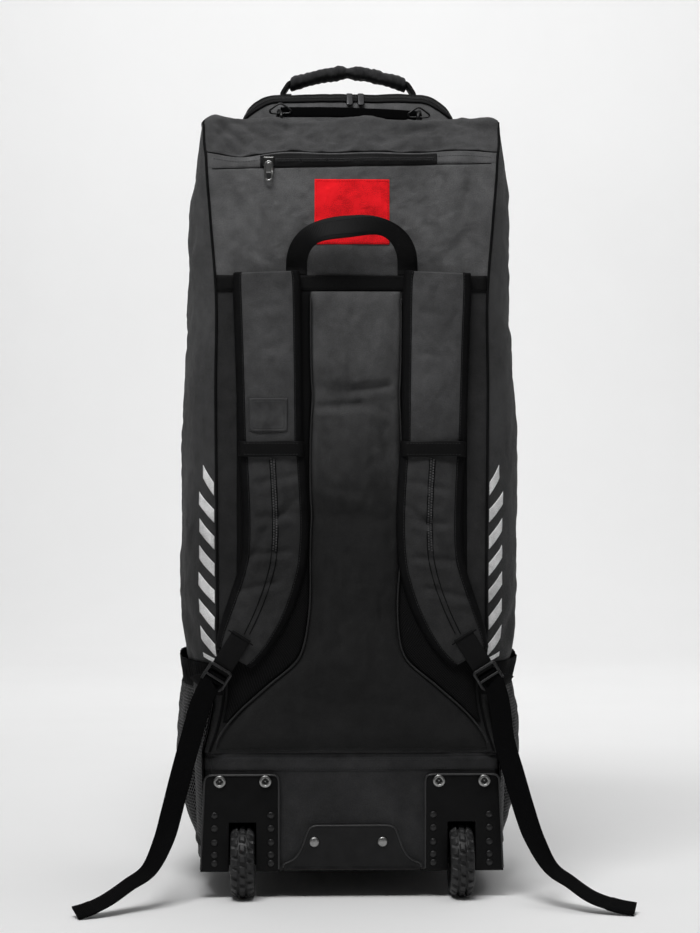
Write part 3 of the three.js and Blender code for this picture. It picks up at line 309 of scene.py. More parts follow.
def spaced(path, pitch):
    """Points every pitch along a path, with the unit tangent at each."""
    path = np.asarray(path, float)
    at = np.arange(pitch / 2, distances(path)[-1], pitch)
    near = 0.3 * MM
    return resampled(path, at), unit(resampled(path, at + near) - resampled(path, at - near))


def unit(v):
    return v / np.maximum(np.linalg.norm(v, axis=-1, keepdims=True), 1e-12)


def grid_normals(points):
    """Unit normals of a grid of points, from the differences along its rows and columns."""
    return unit(np.cross(np.gradient(points, axis=1), np.gradient(points, axis=0)))


def pushed(points, height, out):
    """Points moved along their normals, on the side that out points to."""
    normal = grid_normals(points)
    side = np.sign(np.sum(normal * np.asarray(out, float)))
    return points + side * normal * np.asarray(height)[..., None]


# %% [markdown]
# ## Folds
# Cloth that has been packed and stood up keeps soft dents and a few sharp creases. The dents are
# a sum of sine waves of random direction, each bent by the one before. A crease is a narrow
# trough along a short line, with a raised lip beside it.


# %% Fold functions
def rumple(u, v, seed, size, count=12):
    """Sum of sine waves of random direction with wavelengths near size; about -1 to 1."""
    rng = np.random.default_rng(seed)
    total, bend = np.zeros_like(u), np.zeros_like(u)
    for _ in range(count):
        angle, phase = rng.uniform(0, 2 * np.pi, 2)
        k = 2 * np.pi / (size * rng.uniform(0.7, 1.7))
        wave = np.sin(k * (u * np.cos(angle) + v * np.sin(angle)) + phase + 1.2 * bend)
        total, bend = total + wave, wave
    return total / np.sqrt(count * 1.5)


def crease(u, v, start, end, width, depth):
    """A trough of that depth along the line from start to end, fading at both ends, with a lip."""
    (u0, v0), (u1, v1) = start, end
    run = np.hypot(u1 - u0, v1 - v0)
    du, dv = (u1 - u0) / run, (v1 - v0) / run
    along = ((u - u0) * du + (v - v0) * dv) / run
    aside = (u - u0) * dv - (v - v0) * du
    fade = np.exp(-((np.maximum(0, np.abs(along - 0.5) - 0.35)) ** 2) / 0.02)
    trough = -hump(aside, width)
    lip = 0.45 * hump(aside - 1.9 * width, 1.1 * width)
    return depth * fade * (trough + lip)


def creases(u, v, rows):
    """Several creases together; a row has both ends, the width in metres, the depth in mm."""
    return sum(crease(u, v, row[:2], row[2:4], *row[4:]) for row in rows)


# %% [markdown]
# ## Finishes
# Each effect that several finishes share is a node group: the canvas weave, the ribs of webbing,
# the grain of moulded plastic and a soft mottling. A material places the groups it needs, with
# its own values, and keeps its shader to itself.


# %% Node helpers
def new_group(name, inputs, outputs):
    """A shader node group with named float or vector inputs and outputs."""
    tree = bpy.data.node_groups.new(name, "ShaderNodeTree")
    kinds = {"f": "NodeSocketFloat", "v": "NodeSocketVector"}
    for socket, kind, value in inputs:
        made = tree.interface.new_socket(name=socket, in_out="INPUT", socket_type=kinds[kind])
        if kind == "f":
            made.default_value = value
    for socket in outputs:
        tree.interface.new_socket(name=socket, in_out="OUTPUT", socket_type="NodeSocketFloat")
    return tree, tree.nodes.new("NodeGroupInput"), tree.nodes.new("NodeGroupOutput")


def feed(tree, value, socket):
    """Links a socket, or sets a plain number."""
    if isinstance(value, bpy.types.NodeSocket):
        tree.links.new(value, socket)
    else:
        socket.default_value = value


def maths(tree, operation, a, b=0.0, c=None):
    n = tree.nodes.new("ShaderNodeMath")
    n.operation = operation
    feed(tree, a, n.inputs[0])
    feed(tree, b, n.inputs[1])
    if c is not None:
        feed(tree, c, n.inputs[2])
    return n.outputs[0]


def noise(tree, vector, scale, detail=3.0, roughness=0.55):
    n = tree.nodes.new("ShaderNodeTexNoise")
    feed(tree, vector, n.inputs["Vector"])
    feed(tree, scale, n.inputs["Scale"])
    n.inputs["Detail"].default_value = detail
    n.inputs["Roughness"].default_value = roughness
    return n.outputs["Fac"]


def between(tree, value, low, high, new_low=0.0, new_high=1.0):
    n = tree.nodes.new("ShaderNodeMapRange")
    feed(tree, value, n.inputs["Value"])
    for key, number in (("From Min", low), ("From Max", high), ("To Min", new_low),
                        ("To Max", new_high)):
        feed(tree, number, n.inputs[key])
    return n.outputs["Result"]


def split_xyz(tree, vector):
    n = tree.nodes.new("ShaderNodeSeparateXYZ")
    feed(tree, vector, n.inputs[0])
    return n.outputs


# %% The shared effects as node groups
def canvas_group():
    """Plain weave: the product of a sine along the warp and one along the weft, plus slub."""
    tree, inputs, outputs = new_group("Canvas weave", [("Vector", "v", 0), ("Threads", "f", 1300.0)],
                                      ["Height", "Tone"])
    split = split_xyz(tree, inputs.outputs["Vector"])
    turns = maths(tree, "MULTIPLY", inputs.outputs["Threads"], 2 * np.pi)
    warp = maths(tree, "SINE", maths(tree, "MULTIPLY", split[0], turns))
    weft = maths(tree, "SINE", maths(tree, "MULTIPLY", split[1], turns))
    slub = noise(tree, inputs.outputs["Vector"], 900.0, 2.0)
    plain = maths(tree, "MULTIPLY_ADD", maths(tree, "MULTIPLY", warp, weft), 0.3, 0.4)
    feed(tree, maths(tree, "MULTIPLY_ADD", slub, 0.5, plain), outputs.inputs["Height"])
    feed(tree, between(tree, slub, 0.3, 0.7, 0.75, 1.3), outputs.inputs["Tone"])
    return tree


def rib_group():
    """Webbing: ribs across its length, each split by the warp into short bumps."""
    tree, inputs, outputs = new_group("Webbing ribs", [("Vector", "v", 0), ("Ribs", "f", 620.0)],
                                      ["Height", "Tone"])
    split = split_xyz(tree, inputs.outputs["Vector"])
    turns = maths(tree, "MULTIPLY", inputs.outputs["Ribs"], 2 * np.pi)
    stagger = maths(tree, "SINE", maths(tree, "MULTIPLY", split[0], 3000.0))
    rib = maths(tree, "SINE", maths(tree, "MULTIPLY_ADD", split[1], turns, stagger))
    slub = noise(tree, inputs.outputs["Vector"], 700.0, 2.0)
    feed(tree, maths(tree, "MULTIPLY_ADD", slub, 0.35, maths(tree, "MULTIPLY_ADD", rib, 0.3, 0.35)),
         outputs.inputs["Height"])
    feed(tree, between(tree, rib, -1.0, 1.0, 0.7, 1.25), outputs.inputs["Tone"])
    return tree


def mottle_group():
    """Broad soft patches with small specks: how evenly a dyed or moulded surface takes light."""
    tree, inputs, outputs = new_group("Mottle", [("Vector", "v", 0), ("Size", "f", 14.0)],
                                      ["Broad", "Fine"])
    broad = noise(tree, inputs.outputs["Vector"], inputs.outputs["Size"], 4.0, 0.6)
    finer = maths(tree, "MULTIPLY", inputs.outputs["Size"], 30.0)
    fine = noise(tree, inputs.outputs["Vector"], finer, 3.0, 0.7)
    feed(tree, broad, outputs.inputs["Broad"])
    feed(tree, fine, outputs.inputs["Fine"])
    return tree


def holes_group():
    """Spacer mesh: staggered round holes, dark and sunk, in rows along both directions."""
    tree, inputs, outputs = new_group("Mesh holes", [("Vector", "v", 0), ("Pitch", "f", 0.0032)],
                                      ["Height"])
    split = split_xyz(tree, inputs.outputs["Vector"])
    turns = maths(tree, "DIVIDE", np.pi, inputs.outputs["Pitch"])
    plus = maths(tree, "ADD", split[0], split[1])
    minus = maths(tree, "SUBTRACT", split[0], split[1])
    product = maths(tree, "MULTIPLY", maths(tree, "SINE", maths(tree, "MULTIPLY", plus, turns)),
                    maths(tree, "SINE", maths(tree, "MULTIPLY", minus, turns)))
    feed(tree, between(tree, maths(tree, "ABSOLUTE", product), 0.25, 0.6, 1.0, 0.0),
         outputs.inputs["Height"])
    return tree


CANVAS, RIBS, MOTTLE, HOLES = canvas_group(), rib_group(), mottle_group(), holes_group()


# %% Materials
def start_material(name, colour, roughness, sheen=0.0, metallic=0.0, gloss=0.15):
    """A new material with its node tree, its shader and the node that gives coordinates."""
    made = bpy.data.materials.new(name)
    made.use_nodes = True
    tree = made.node_tree
    shader = tree.nodes["Principled BSDF"]
    shader.inputs["Base Color"].default_value = (*colour, 1)
    shader.inputs["Roughness"].default_value = roughness
    shader.inputs["Metallic"].default_value = metallic
    shader.inputs["Sheen Weight"].default_value = sheen
    shader.inputs["Sheen Roughness"].default_value = 0.45
    shader.inputs["Specular IOR Level"].default_value = gloss
    place = tree.nodes.new("ShaderNodeTexCoord")
    return made, tree, shader, place


def use(tree, group, vector, **values):
    n = tree.nodes.new("ShaderNodeGroup")
    n.node_tree = group
    feed(tree, vector, n.inputs["Vector"])
    for key, value in values.items():
        n.inputs[key].default_value = value
    return n.outputs


def tint(tree, shader, colour, tone):
    """Base colour multiplied by a tone that changes over the surface."""
    scale = tree.nodes.new("ShaderNodeVectorMath")
    scale.operation = "SCALE"
    scale.inputs[0].default_value = colour
    feed(tree, tone, scale.inputs["Scale"])
    tree.links.new(scale.outputs[0], shader.inputs["Base Color"])


def raise_bump(tree, shader, height, strength, distance):
    bump = tree.nodes.new("ShaderNodeBump")
    bump.inputs["Strength"].default_value = strength
    bump.inputs["Distance"].default_value = distance
    feed(tree, height, bump.inputs["Height"])
    tree.links.new(bump.outputs[0], shader.inputs["Normal"])


def cloth(name, colour, roughness=0.62, sheen=0.04, threads=1100.0, gloss=0.14, painted_shade_by_height=None):
    """Coated canvas: a weave on the UV map, mottled broadly, a little shinier where it is worn.
    The last argument gives two heights and two tones: painted light and shade by height, the cloth
    darker lower down as the light falls off."""
    made, tree, shader, place = start_material(name, colour, roughness, sheen, gloss=gloss)
    weave = use(tree, CANVAS, place.outputs["UV"], Threads=threads)
    soft = use(tree, MOTTLE, place.outputs["Object"], Size=11.0)
    puckers = use(tree, MOTTLE, place.outputs["Object"], Size=60.0)
    tone = maths(tree, "MULTIPLY", weave["Tone"], between(tree, soft["Broad"], 0.32, 0.68, 0.72, 1.28))
    tone = maths(tree, "MULTIPLY", tone, between(tree, puckers["Broad"], 0.3, 0.7, 0.82, 1.18))
    # Painted shade by height: the colour scaled from a low tone below to a high tone above.
    if painted_shade_by_height:
        height = split_xyz(tree, place.outputs["Object"])[2]
        tone = maths(tree, "MULTIPLY", tone, between(tree, height, *painted_shade_by_height))
    tint(tree, shader, colour, tone)
    feed(tree, between(tree, soft["Fine"], 0.3, 0.7, roughness - 0.08, roughness + 0.1),
         shader.inputs["Roughness"])
    height = maths(tree, "MULTIPLY_ADD", puckers["Broad"], 2.4,
                   maths(tree, "MULTIPLY_ADD", soft["Fine"], 0.9, weave["Height"]))
    raise_bump(tree, shader, height, 0.7, 0.0006)
    return made


def webbing(name, colour, roughness=0.55, gloss=0.1):
    made, tree, shader, place = start_material(name, colour, roughness, gloss=gloss)
    ribs = use(tree, RIBS, place.outputs["UV"])
    soft = use(tree, MOTTLE, place.outputs["Object"], Size=20.0)
    tint(tree, shader, colour,
         maths(tree, "MULTIPLY", ribs["Tone"], between(tree, soft["Fine"], 0.3, 0.7, 0.8, 1.25)))
    raise_bump(tree, shader, ribs["Height"], 0.6, 0.0005)
    return made


def moulded(name, colour, roughness=0.42, grain=55.0, gloss=0.3):
    """Moulded plastic: fine spark grain, mottled roughness and a little dust."""
    made, tree, shader, place = start_material(name, colour, roughness, gloss=gloss)
    soft = use(tree, MOTTLE, place.outputs["Object"], Size=grain)
    tint(tree, shader, colour, between(tree, soft["Broad"], 0.35, 0.75, 0.8, 1.45))
    feed(tree, between(tree, soft["Broad"], 0.3, 0.7, roughness - 0.1, roughness + 0.14),
         shader.inputs["Roughness"])
    raise_bump(tree, shader, soft["Fine"], 0.25, 0.0003)
    return made


def metal(name, colour, roughness=0.28):
    made, tree, shader, place = start_material(name, colour, roughness, metallic=1.0, gloss=0.5)
    soft = use(tree, MOTTLE, place.outputs["Object"], Size=120.0)
    tint(tree, shader, colour, between(tree, soft["Broad"], 0.3, 0.7, 0.75, 1.1))
    feed(tree, between(tree, soft["Fine"], 0.3, 0.7, roughness - 0.08, roughness + 0.14),
         shader.inputs["Roughness"])
    return made


def spacer_mesh(name, colour):
    made, tree, shader, place = start_material(name, colour, 0.75, gloss=0.05)
    holes = use(tree, HOLES, place.outputs["UV"])
    tint(tree, shader, colour, between(tree, holes["Height"], 0.0, 1.0, 0.25, 1.25))
    raise_bump(tree, shader, holes["Height"], 0.8, 0.0012)
    return made


GREY = cloth("grey_canvas", (0.085, 0.085, 0.0865))
HOOD_GREY = cloth("hood_canvas", (0.047, 0.047, 0.048))
# Side canvas with painted shade by height: lighter near the top, darker lower down.
SIDE_GREY = cloth("side_canvas_painted_shade", (0.048, 0.048, 0.049), painted_shade_by_height=(0.3, 0.75, 0.45, 1.25))
STRIP_GREY = cloth("edge_strip_canvas", (0.02, 0.02, 0.0205))
# Strap canvas with painted shade by height: the lower straps darker, the upper ones lighter.
STRAP_GREY = cloth("strap_canvas_painted_shade", (0.044, 0.044, 0.045), painted_shade_by_height=(0.46, 0.62, 0.55, 1.2))
# Centre canvas: a darker copy of the grey canvas, painted shade for the trough between the straps, with
# painted light at its top and painted shade lower down.
CENTRE_PAINTED_SHADE = cloth("centre_canvas_painted_shade", (0.034, 0.034, 0.0345), painted_shade_by_height=(0.45, 0.66, 0.31, 1.85))
DARK = cloth("boot_canvas", (0.024, 0.024, 0.025), roughness=0.6)
BINDING = cloth("edge_binding", (0.005, 0.005, 0.0053), roughness=0.6, sheen=0.0, threads=900.0,
                gloss=0.05)
PIPE = cloth("panel_piping", (0.009, 0.009, 0.0094), roughness=0.42, sheen=0.0, threads=900.0,
             gloss=0.32)
GRIP = cloth("grip_sleeve", (0.022, 0.022, 0.023), roughness=0.55)
WEB = webbing("black_webbing", (0.0045, 0.0045, 0.0047))
TAIL_WEB = webbing("tail_webbing", (0.0028, 0.0028, 0.003), 0.65, gloss=0.03)
# A darker copy of the black webbing: painted shade on the strap that lies up on the shoulder.
WEB_PAINTED_SHADE = webbing("haul_strap_painted_shade_webbing", (0.0012, 0.0012, 0.0013), 0.7, gloss=0.01)
TAPE = webbing("zip_tape", (0.007, 0.007, 0.0073), 0.6)
STRAP_COIL = moulded("strap_zip_coil", (0.06, 0.06, 0.0615), 0.4)
COIL = moulded("zip_coil", (0.011, 0.011, 0.0114), 0.35, gloss=0.3)
# A lighter copy of the housing plastic for its studs: painted highlight on the moulded studs.
STUD_HIGHLIGHT_PLASTIC = moulded("stud_painted_highlight_plastic", (0.0105, 0.0105, 0.0108), 0.34, gloss=0.35)
SLIDER = metal("slider_nickel", (0.1, 0.1, 0.098), 0.3)
NET = webbing("net_thread", (0.07, 0.07, 0.071), 0.45, gloss=0.5)
# Black: the pocket's elastic band, and a sheet just behind the net that stands in as painted shade
# inside the pocket.
NET_SHADE_AND_ELASTIC = webbing("net_backing_shade", (0.0025, 0.0025, 0.0027), 0.7, gloss=0.02)
AIR_MESH = spacer_mesh("air_mesh", (0.008, 0.008, 0.0083))
THREAD = cloth("sewing_thread", (0.03, 0.03, 0.031), roughness=0.7)
PLASTIC = moulded("housing_plastic", (0.0042, 0.0042, 0.0044), 0.42, gloss=0.1)
# A lighter copy of the housing plastic for the edge beads and the kick plate's rim: painted highlight
# along the edges.
RIM_HIGHLIGHT_PLASTIC = moulded("rim_painted_highlight_plastic", (0.02, 0.02, 0.0205), 0.38, gloss=0.45)
KICK = moulded("kick_plate_plastic", (0.011, 0.011, 0.0114), 0.4, gloss=0.15)
LOCK = moulded("buckle_plastic", (0.009, 0.009, 0.0094), 0.32, gloss=0.4)
RUBBER = moulded("patch_rubber", (0.04, 0.04, 0.041), 0.5, gloss=0.12)
TYRE = moulded("tyre_rubber", (0.0125, 0.0125, 0.013), 0.5, grain=30.0, gloss=0.4)
# A dark copy of the screw steel: painted shade round the cross and at the edge of each head.
SCREW_PAINTED_SHADE = metal("screw_painted_shade_steel", (0.05, 0.05, 0.049), 0.4)
STEEL = metal("screw_steel", (0.33, 0.33, 0.325), 0.34)
NICKEL = metal("zip_nickel", (0.26, 0.26, 0.255), 0.32)
BLACK_NICKEL = metal("pull_black_nickel", (0.035, 0.035, 0.036), 0.32)
WIRE = moulded("ring_wire", (0.0035, 0.0035, 0.0037), 0.3, gloss=0.35)
RED = cloth("red_label", (0.9, 0.012, 0.019), roughness=0.7, sheen=0.0, threads=1500.0, gloss=0.08)
WHITE = cloth("white_bars", (0.85, 0.85, 0.85), roughness=0.5, sheen=0.0)
print("materials:", len(bpy.data.materials))


# %% Finishing a piece: wall, shading, body and the node that it stands for
def finish_piece(piece, material, body="bag", node=None, wall=0.0, edge=0.0):
    """The material, the wall or bevelled edge, the body it hangs from, and the construction node it
    hides.
    """
    piece.data.materials.append(material)
    piece.data.polygons.foreach_set("use_smooth", [True] * len(piece.data.polygons))
    if wall:
        m = piece.modifiers.new("wall", "SOLIDIFY")
        m.thickness, m.offset, m.use_even_offset = wall, -1, False
    if edge:
        m = piece.modifiers.new("edge", "BEVEL")
        m.width, m.segments, m.limit_method, m.angle_limit = edge, 3, "ANGLE", np.radians(35)
        m.harden_normals = True
    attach(piece, body)
    if node:
        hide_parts(node)
    return piece


# %% [markdown]
# ## Flat webbing
# All the webbing is one shape: a thin band with rounded edges, carried along a path. Each path
# says where the middle is, which way the width lies and which way the thickness.

# %% One section for all webbing
HALF_SECTION = [(-1, 0), (-0.985, 0.6), (-0.94, 0.95), (-0.5, 1), (0, 1), (0.5, 1), (0.94, 0.95),
                (0.985, 0.6), (1, 0)]
SECTION = np.array(HALF_SECTION + [(a, -b) for a, b in HALF_SECTION[-2:0:-1]])


def web(name, node, middle, across, width=WEBBING, thick=WEB_THICK, material=None, facing=(0, -1, 0)):
    """Webbing along middle, its width along across and its thickness towards facing."""
    middle, across = (np.asarray(middle, float),
                      unit(np.broadcast_to(np.asarray(across, float), np.shape(middle))))
    run = unit(np.gradient(middle, axis=0))
    across = unit(across - run * np.sum(across * run, -1, keepdims=True))
    through = np.cross(across, run)
    through *= np.where(np.sum(through * np.asarray(facing, float), -1, keepdims=True) < 0, -1, 1)
    a, b = SECTION.T
    half = np.broadcast_to(np.asarray(width, float) / 2, len(middle))[:, None, None]
    deep = np.broadcast_to(np.asarray(thick, float) / 2, len(middle))[:, None, None]
    rings = middle[:, None] + across[:, None] * a[:, None] * half + through[:, None] * b[:, None] * deep
    return finish_piece(tube_mesh(name, rings), material or WEB, node=node)


def cord_mesh(name, path, radius, sides=12):
    """A round cord: a circle carried along a path, square to it everywhere."""
    run = unit(np.gradient(np.asarray(path, float), axis=0))
    helper = np.where(np.abs(run[:, :1]) > 0.9, [[0, 1.0, 0]], [[1.0, 0, 0]])
    one = unit(np.cross(run, helper))
    two = np.cross(run, one)
    angle = np.linspace(0, 2 * np.pi, sides, endpoint=False)[:, None]
    rings = path[:, None] + radius * (one[:, None] * np.cos(angle) + two[:, None] * np.sin(angle))
    return tube_mesh(name, rings)


# %% [markdown]
# ## Stitches
# Sewing thread shows as a row of short raised dashes. One dash is a tiny stretched diamond, and
# it is copied along each seam, turned to lie on the cloth.

# %% A row of stitches along a path on a surface
DASH = np.array([(-1, 0, 0), (0, -1, 0), (0, 0, 1), (0, 1, 0), (0, 0, -1), (1, 0, 0)], float)
DASH_FACES = [(0, 1, 2), (0, 2, 3), (0, 3, 4), (0, 4, 1), (5, 2, 1), (5, 3, 2), (5, 4, 3), (5, 1, 4)]


def stitch_row(name, path, out, material, pitch=3.6 * MM, long=1.35 * MM, thin=0.32 * MM):
    """Dashes along one or several paths; out is the way off the cloth, or a function of places."""
    paths = path if isinstance(path, list) else [path]
    pairs = [spaced(p, pitch) for p in paths]
    places = np.concatenate([p for p, _ in pairs])
    run = np.concatenate([t for _, t in pairs])
    lift = unit(np.broadcast_to(out(places) if callable(out) else np.asarray(out, float), run.shape))
    aside = unit(np.cross(lift, run))
    lift = np.cross(run, aside)
    frames = np.stack([run * long, aside * thin * 1.3, lift * thin], 1)
    return finish_piece(scatter(name, DASH, DASH_FACES, places, frames), material)


# %% [markdown]
# ## Camera, floor and light
# The photograph was taken with a longish lens from about 2.6 m, at half the bag's height and a
# touch to the left. The studio sweep is one sheet: a floor that curves up into a wall.

# %% Camera
CAMERA_AWAY = 2.6
CAMERA_LEFT = 0.09
CAMERA_HEIGHT = 0.513
FOCAL_PIXELS = 2189
LONG_SIDE = 933
SENSOR = 36.0
BAG_RIGHT_OF_MIDDLE = 2 / FOCAL_PIXELS

lens = bpy.data.cameras.new("camera")
lens.sensor_width = SENSOR
lens.lens = FOCAL_PIXELS / LONG_SIDE * SENSOR
camera = placed("camera", lens)
camera.location = (-CAMERA_LEFT, BACK_Y - CAMERA_AWAY, CAMERA_HEIGHT)
camera.rotation_euler = (np.pi / 2, 0, BAG_RIGHT_OF_MIDDLE - np.arctan(CAMERA_LEFT / CAMERA_AWAY))
bpy.context.scene.camera = camera
print(f"lens {lens.lens:.1f} mm")

# %% The sweep, and soft light from above and in front
PAPER = (0.88, 0.88, 0.88)
SWEEP_FRONT, SWEEP_BACK, SWEEP_RADIUS, SWEEP_HALF, SWEEP_TOP = -8.0, 3.0, 1.2, 8.0, 5.0


def sweep_points(u, v):
    """Floor, quarter circle and wall, by the share v of the whole length."""
    flat, bend = SWEEP_BACK - SWEEP_FRONT, SWEEP_RADIUS * np.pi / 2
    s = v * (flat + bend + SWEEP_TOP)
    turn = np.clip((s - flat) / SWEEP_RADIUS, 0, np.pi / 2)
    y = SWEEP_FRONT + np.minimum(s, flat) + SWEEP_RADIUS * np.sin(turn)
    z = SWEEP_RADIUS * (1 - np.cos(turn)) + np.maximum(0, s - flat - bend)
    return as_array(u * SWEEP_HALF, y - BACK_Y, z)


sweep = sheet_mesh("studio_sweep", sweep_points(*spread(9, 90)), out=(0, -1, 1))
paper, paper_tree, paper_shader, paper_place = start_material("studio_paper", PAPER, 0.9)
paper_soft = use(paper_tree, MOTTLE, paper_place.outputs["Object"], Size=1.2)
tint(paper_tree, paper_shader, PAPER, between(paper_tree, paper_soft["Broad"], 0.3, 0.7, 0.985, 1.015))
sweep.data.materials.append(paper)
sweep.data.polygons.foreach_set("use_smooth", [True] * len(sweep.data.polygons))


def soft_light(name, place, target, size, power):
    """A rectangular area light at place that faces target."""
    data = bpy.data.lights.new(name, "AREA")
    data.shape, data.size, data.size_y, data.energy = "RECTANGLE", *size, power
    lamp = placed(name, data)
    lamp.location = place
    away = Vector([a - b for a, b in zip(place, target)])
    lamp.rotation_euler = away.to_track_quat("Z", "Y").to_euler()


soft_light("key_light", (-0.4, -1.25, 2.5), (0, 0, 0.85), (1.2, 0.7), 46)
soft_light("left_light", (-2.0, -0.4, 1.3), (0, 0, 0.6), (0.7, 1.6), 1.3)
soft_light("right_light", (2.0, -0.4, 1.3), (0, 0, 0.6), (0.7, 1.6), 0.2)
soft_light("top_light", (0.7, 0.0, 3.4), (0.6, -0.2, 0), (2.8, 2.4), 34)
soft_light("wall_light", (0.3, 1.8, 2.9), (0.5, 4.2, 0.6), (4.6, 1.0), 76)
world = bpy.data.worlds.new("studio_air")
world.use_nodes = True
world.node_tree.nodes["Background"].inputs["Color"].default_value = (1, 1, 1, 1)
world.node_tree.nodes["Background"].inputs["Strength"].default_value = 0.05
bpy.context.scene.world = world
bpy.context.scene.view_settings.view_transform = "Standard"

# %% [markdown]
# ## The boot
# The base of the bag is a tub of heavier cloth. Its plan outline is taken at each height and its
# corners are rounded by averaging. Faces behind the wheel housings are left out.

# %% Boot
WHEEL_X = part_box("tyre_right")[0].x / 2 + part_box("tyre_right")[1].x / 2
WELL_HALF = 19.8 * MM
WELL_TOP = 95 * MM
WELL_DEPTH = 59 * MM
SEAM_STRIP = (151 * MM, 168 * MM)
BOOT_ROUND = 9 * MM
PLAN_POINTS, PLAN_ROUNDING = 300, 16


def plan_loop(z, inset):
    """Points round the bag at height z, evenly spaced, with the corners averaged round."""
    c, d = level(60, -1, 1), level(60, 0, BODY_DEPTH)
    x = np.concatenate([c * body_half(z, 0), body_half(z, d), -c * body_half(z, BODY_DEPTH),
                        -body_half(z, d[::-1])])
    y = np.concatenate([0 * c, d, 0 * c + BODY_DEPTH, d[::-1]])
    path = np.stack([np.append(x, x[0]), np.append(y, y[0])], -1)
    at = np.linspace(0, distances(path)[-1], PLAN_POINTS, endpoint=False)
    ring = resampled(path, at)
    for _ in range(PLAN_ROUNDING):
        ring = (np.roll(ring, 1, 0) + ring + np.roll(ring, -1, 0)) / 3
    return ring + unit(MIDDLE[:2] - ring) * inset


def plan_rows(heights, insets):
    loops = [plan_loop(z, inset) for z, inset in zip(heights, insets)]
    return np.stack([as_array(loop[:, 0], loop[:, 1], z) for loop, z in zip(loops, heights)])


def boot_points():
    walls = level(46, BOOT_TOP, BOOT_BASE + BOOT_ROUND)
    edge = level(8, 0, np.pi / 2)[1:]
    heights = np.concatenate([walls, BOOT_BASE + BOOT_ROUND * (1 - np.sin(edge))])
    sides = plan_rows(heights, np.concatenate([0 * walls, BOOT_ROUND * (1 - np.cos(edge))]))
    middle = np.array([0, BODY_DEPTH / 2, BOOT_BASE])
    return np.concatenate([sides, middle + (sides[-1] - middle) * level(40, 0.98, 0.01)[:, None, None]])


boot_grid = ringed(boot_points())
u, v = boot_grid[..., 0] + boot_grid[..., 1], boot_grid[..., 2]
soften = ramp(BOOT_TOP - v, 0.02) * (v > BOOT_BASE + 1 * MM)
dents = (rumple(u, v * 1.6, 3, 0.09) * 1.6 + rumple(u, v, 4, 0.03) * 0.5) * MM * soften
dents = dents * np.clip(boot_grid[..., 1] / 0.03, 0.12, 1)


def off_axis(points):
    """Level direction away from the upright middle line of the bag."""
    return (points - MIDDLE) * (1, 1, 0)


boot_grid = boot_grid + unit(off_axis(boot_grid)) * dents[..., None]


def outside_wells(centres):
    """True for faces of the boot that the wheel housings don't cover."""
    x, y, z = np.abs(centres[:, 0]), centres[:, 1], centres[:, 2]
    return ~((np.abs(x - WHEEL_X) < WELL_HALF) & (y < WELL_DEPTH) & (z < WELL_TOP))


boot = sheet_mesh("boot_tub", boot_grid, keep=outside_wells)
finish_piece(boot, DARK, node="boot", wall=CLOTH)

strip_grid = ringed(plan_rows(level(7, *SEAM_STRIP), [-0.4 * MM, *[-1.7 * MM] * 5, -0.4 * MM]))
finish_piece(sheet_mesh("boot_seam_strip", strip_grid), DARK, wall=0.8 * MM)
for name, z in (("low", SEAM_STRIP[0] + 3 * MM), ("high", SEAM_STRIP[1] - 3 * MM)):
    loop = plan_rows([z], [-2.4 * MM])[0]
    stitch_row(f"boot_seam_stitches_{name}", np.concatenate([loop, loop[:1]]), off_axis, THREAD)
print("boot rows and columns:", boot_grid.shape[:2])

# %% [markdown]
# ## The back and its upper panel
# The upper panel is the smoothest cloth on the bag, so its folds show most: a stitched line
# under the hood seam, a soft roll below it, and shallow drapes that run down from the zip. The
# patch, the zip and the pull read the same folds, so they lie on the cloth wherever it goes.

# %% The back's own folds
BAND_LOW, BAND_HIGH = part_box("back_band")[0].z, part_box("back_band")[1].z
BAND_MIDDLE = (BAND_LOW + BAND_HIGH) / 2


def seam_wave(x):
    """How far the hood seam wanders up and down across the back."""
    return (-5.5 * hump(x + 0.133, 0.035) + 2.0 * hump(x - 0.13, 0.05)
            + 0.8 * np.sin(x * 60)) * MM


def pocket_seam(x):
    """Height of the seam that the pocket's zip is sewn into; it climbs a little to the right."""
    return (870 + 24 * x) * MM


UPPER_CREASES = [
    (-0.15, 0.848, -0.10, 0.758, 0.007, 2.6),
    (-0.055, 0.80, -0.075, 0.75, 0.006, 1.8),
    (0.07, 0.85, 0.115, 0.76, 0.008, 2.2),
    (0.145, 0.87, 0.128, 0.80, 0.006, 2.0),
    (-0.155, 0.79, -0.09, 0.752, 0.006, 1.8),
    (0.15, 0.80, 0.10, 0.752, 0.007, 1.8),
]


def upper_lift(x, z):
    """How far the upper panel stands off the back plane, towards the camera."""
    half = back_half(z)
    inside = np.clip(1 - (np.abs(x) / half) ** 6, 0, 1)
    rise = ramp(z - BAND_HIGH, 0.03) * ramp(HOOD_SEAM + 2 * MM - z, 0.012)
    folds = (rumple(x * 1.5, z * 0.7, 21, 0.07) * 1.2 + rumple(x, z, 22, 0.03) * 0.45
             + creases(x, z, UPPER_CREASES))
    off_seam = (z - pocket_seam(x)) / MM
    roll = 0.9 * hump(off_seam - 6, 5) - 1.3 * hump(off_seam, 1.3)
    gather = 0.5 * np.sin(x * 210 + 2 * np.sin(x * 37)) * hump(off_seam + 4, 8)
    return (1.6 + folds + roll + gather) * MM * inside * rise


def on_upper(x, z, lift=0.0):
    return as_array(x, -upper_lift(x, z) - lift, z)


def upper_points(u, v):
    z = BAND_MIDDLE + v * (HOOD_SEAM - BAND_MIDDLE)
    x = u * (back_half(z) - 1.2 * MM)
    z = z + seam_wave(x) * v**6
    return on_upper(x, z)


upper = sheet_mesh("upper_panel", upper_points(*spread(170, 190)), out=(0, -1, 0))
finish_piece(upper, GREY, node="back_upper_panel", wall=CLOTH)


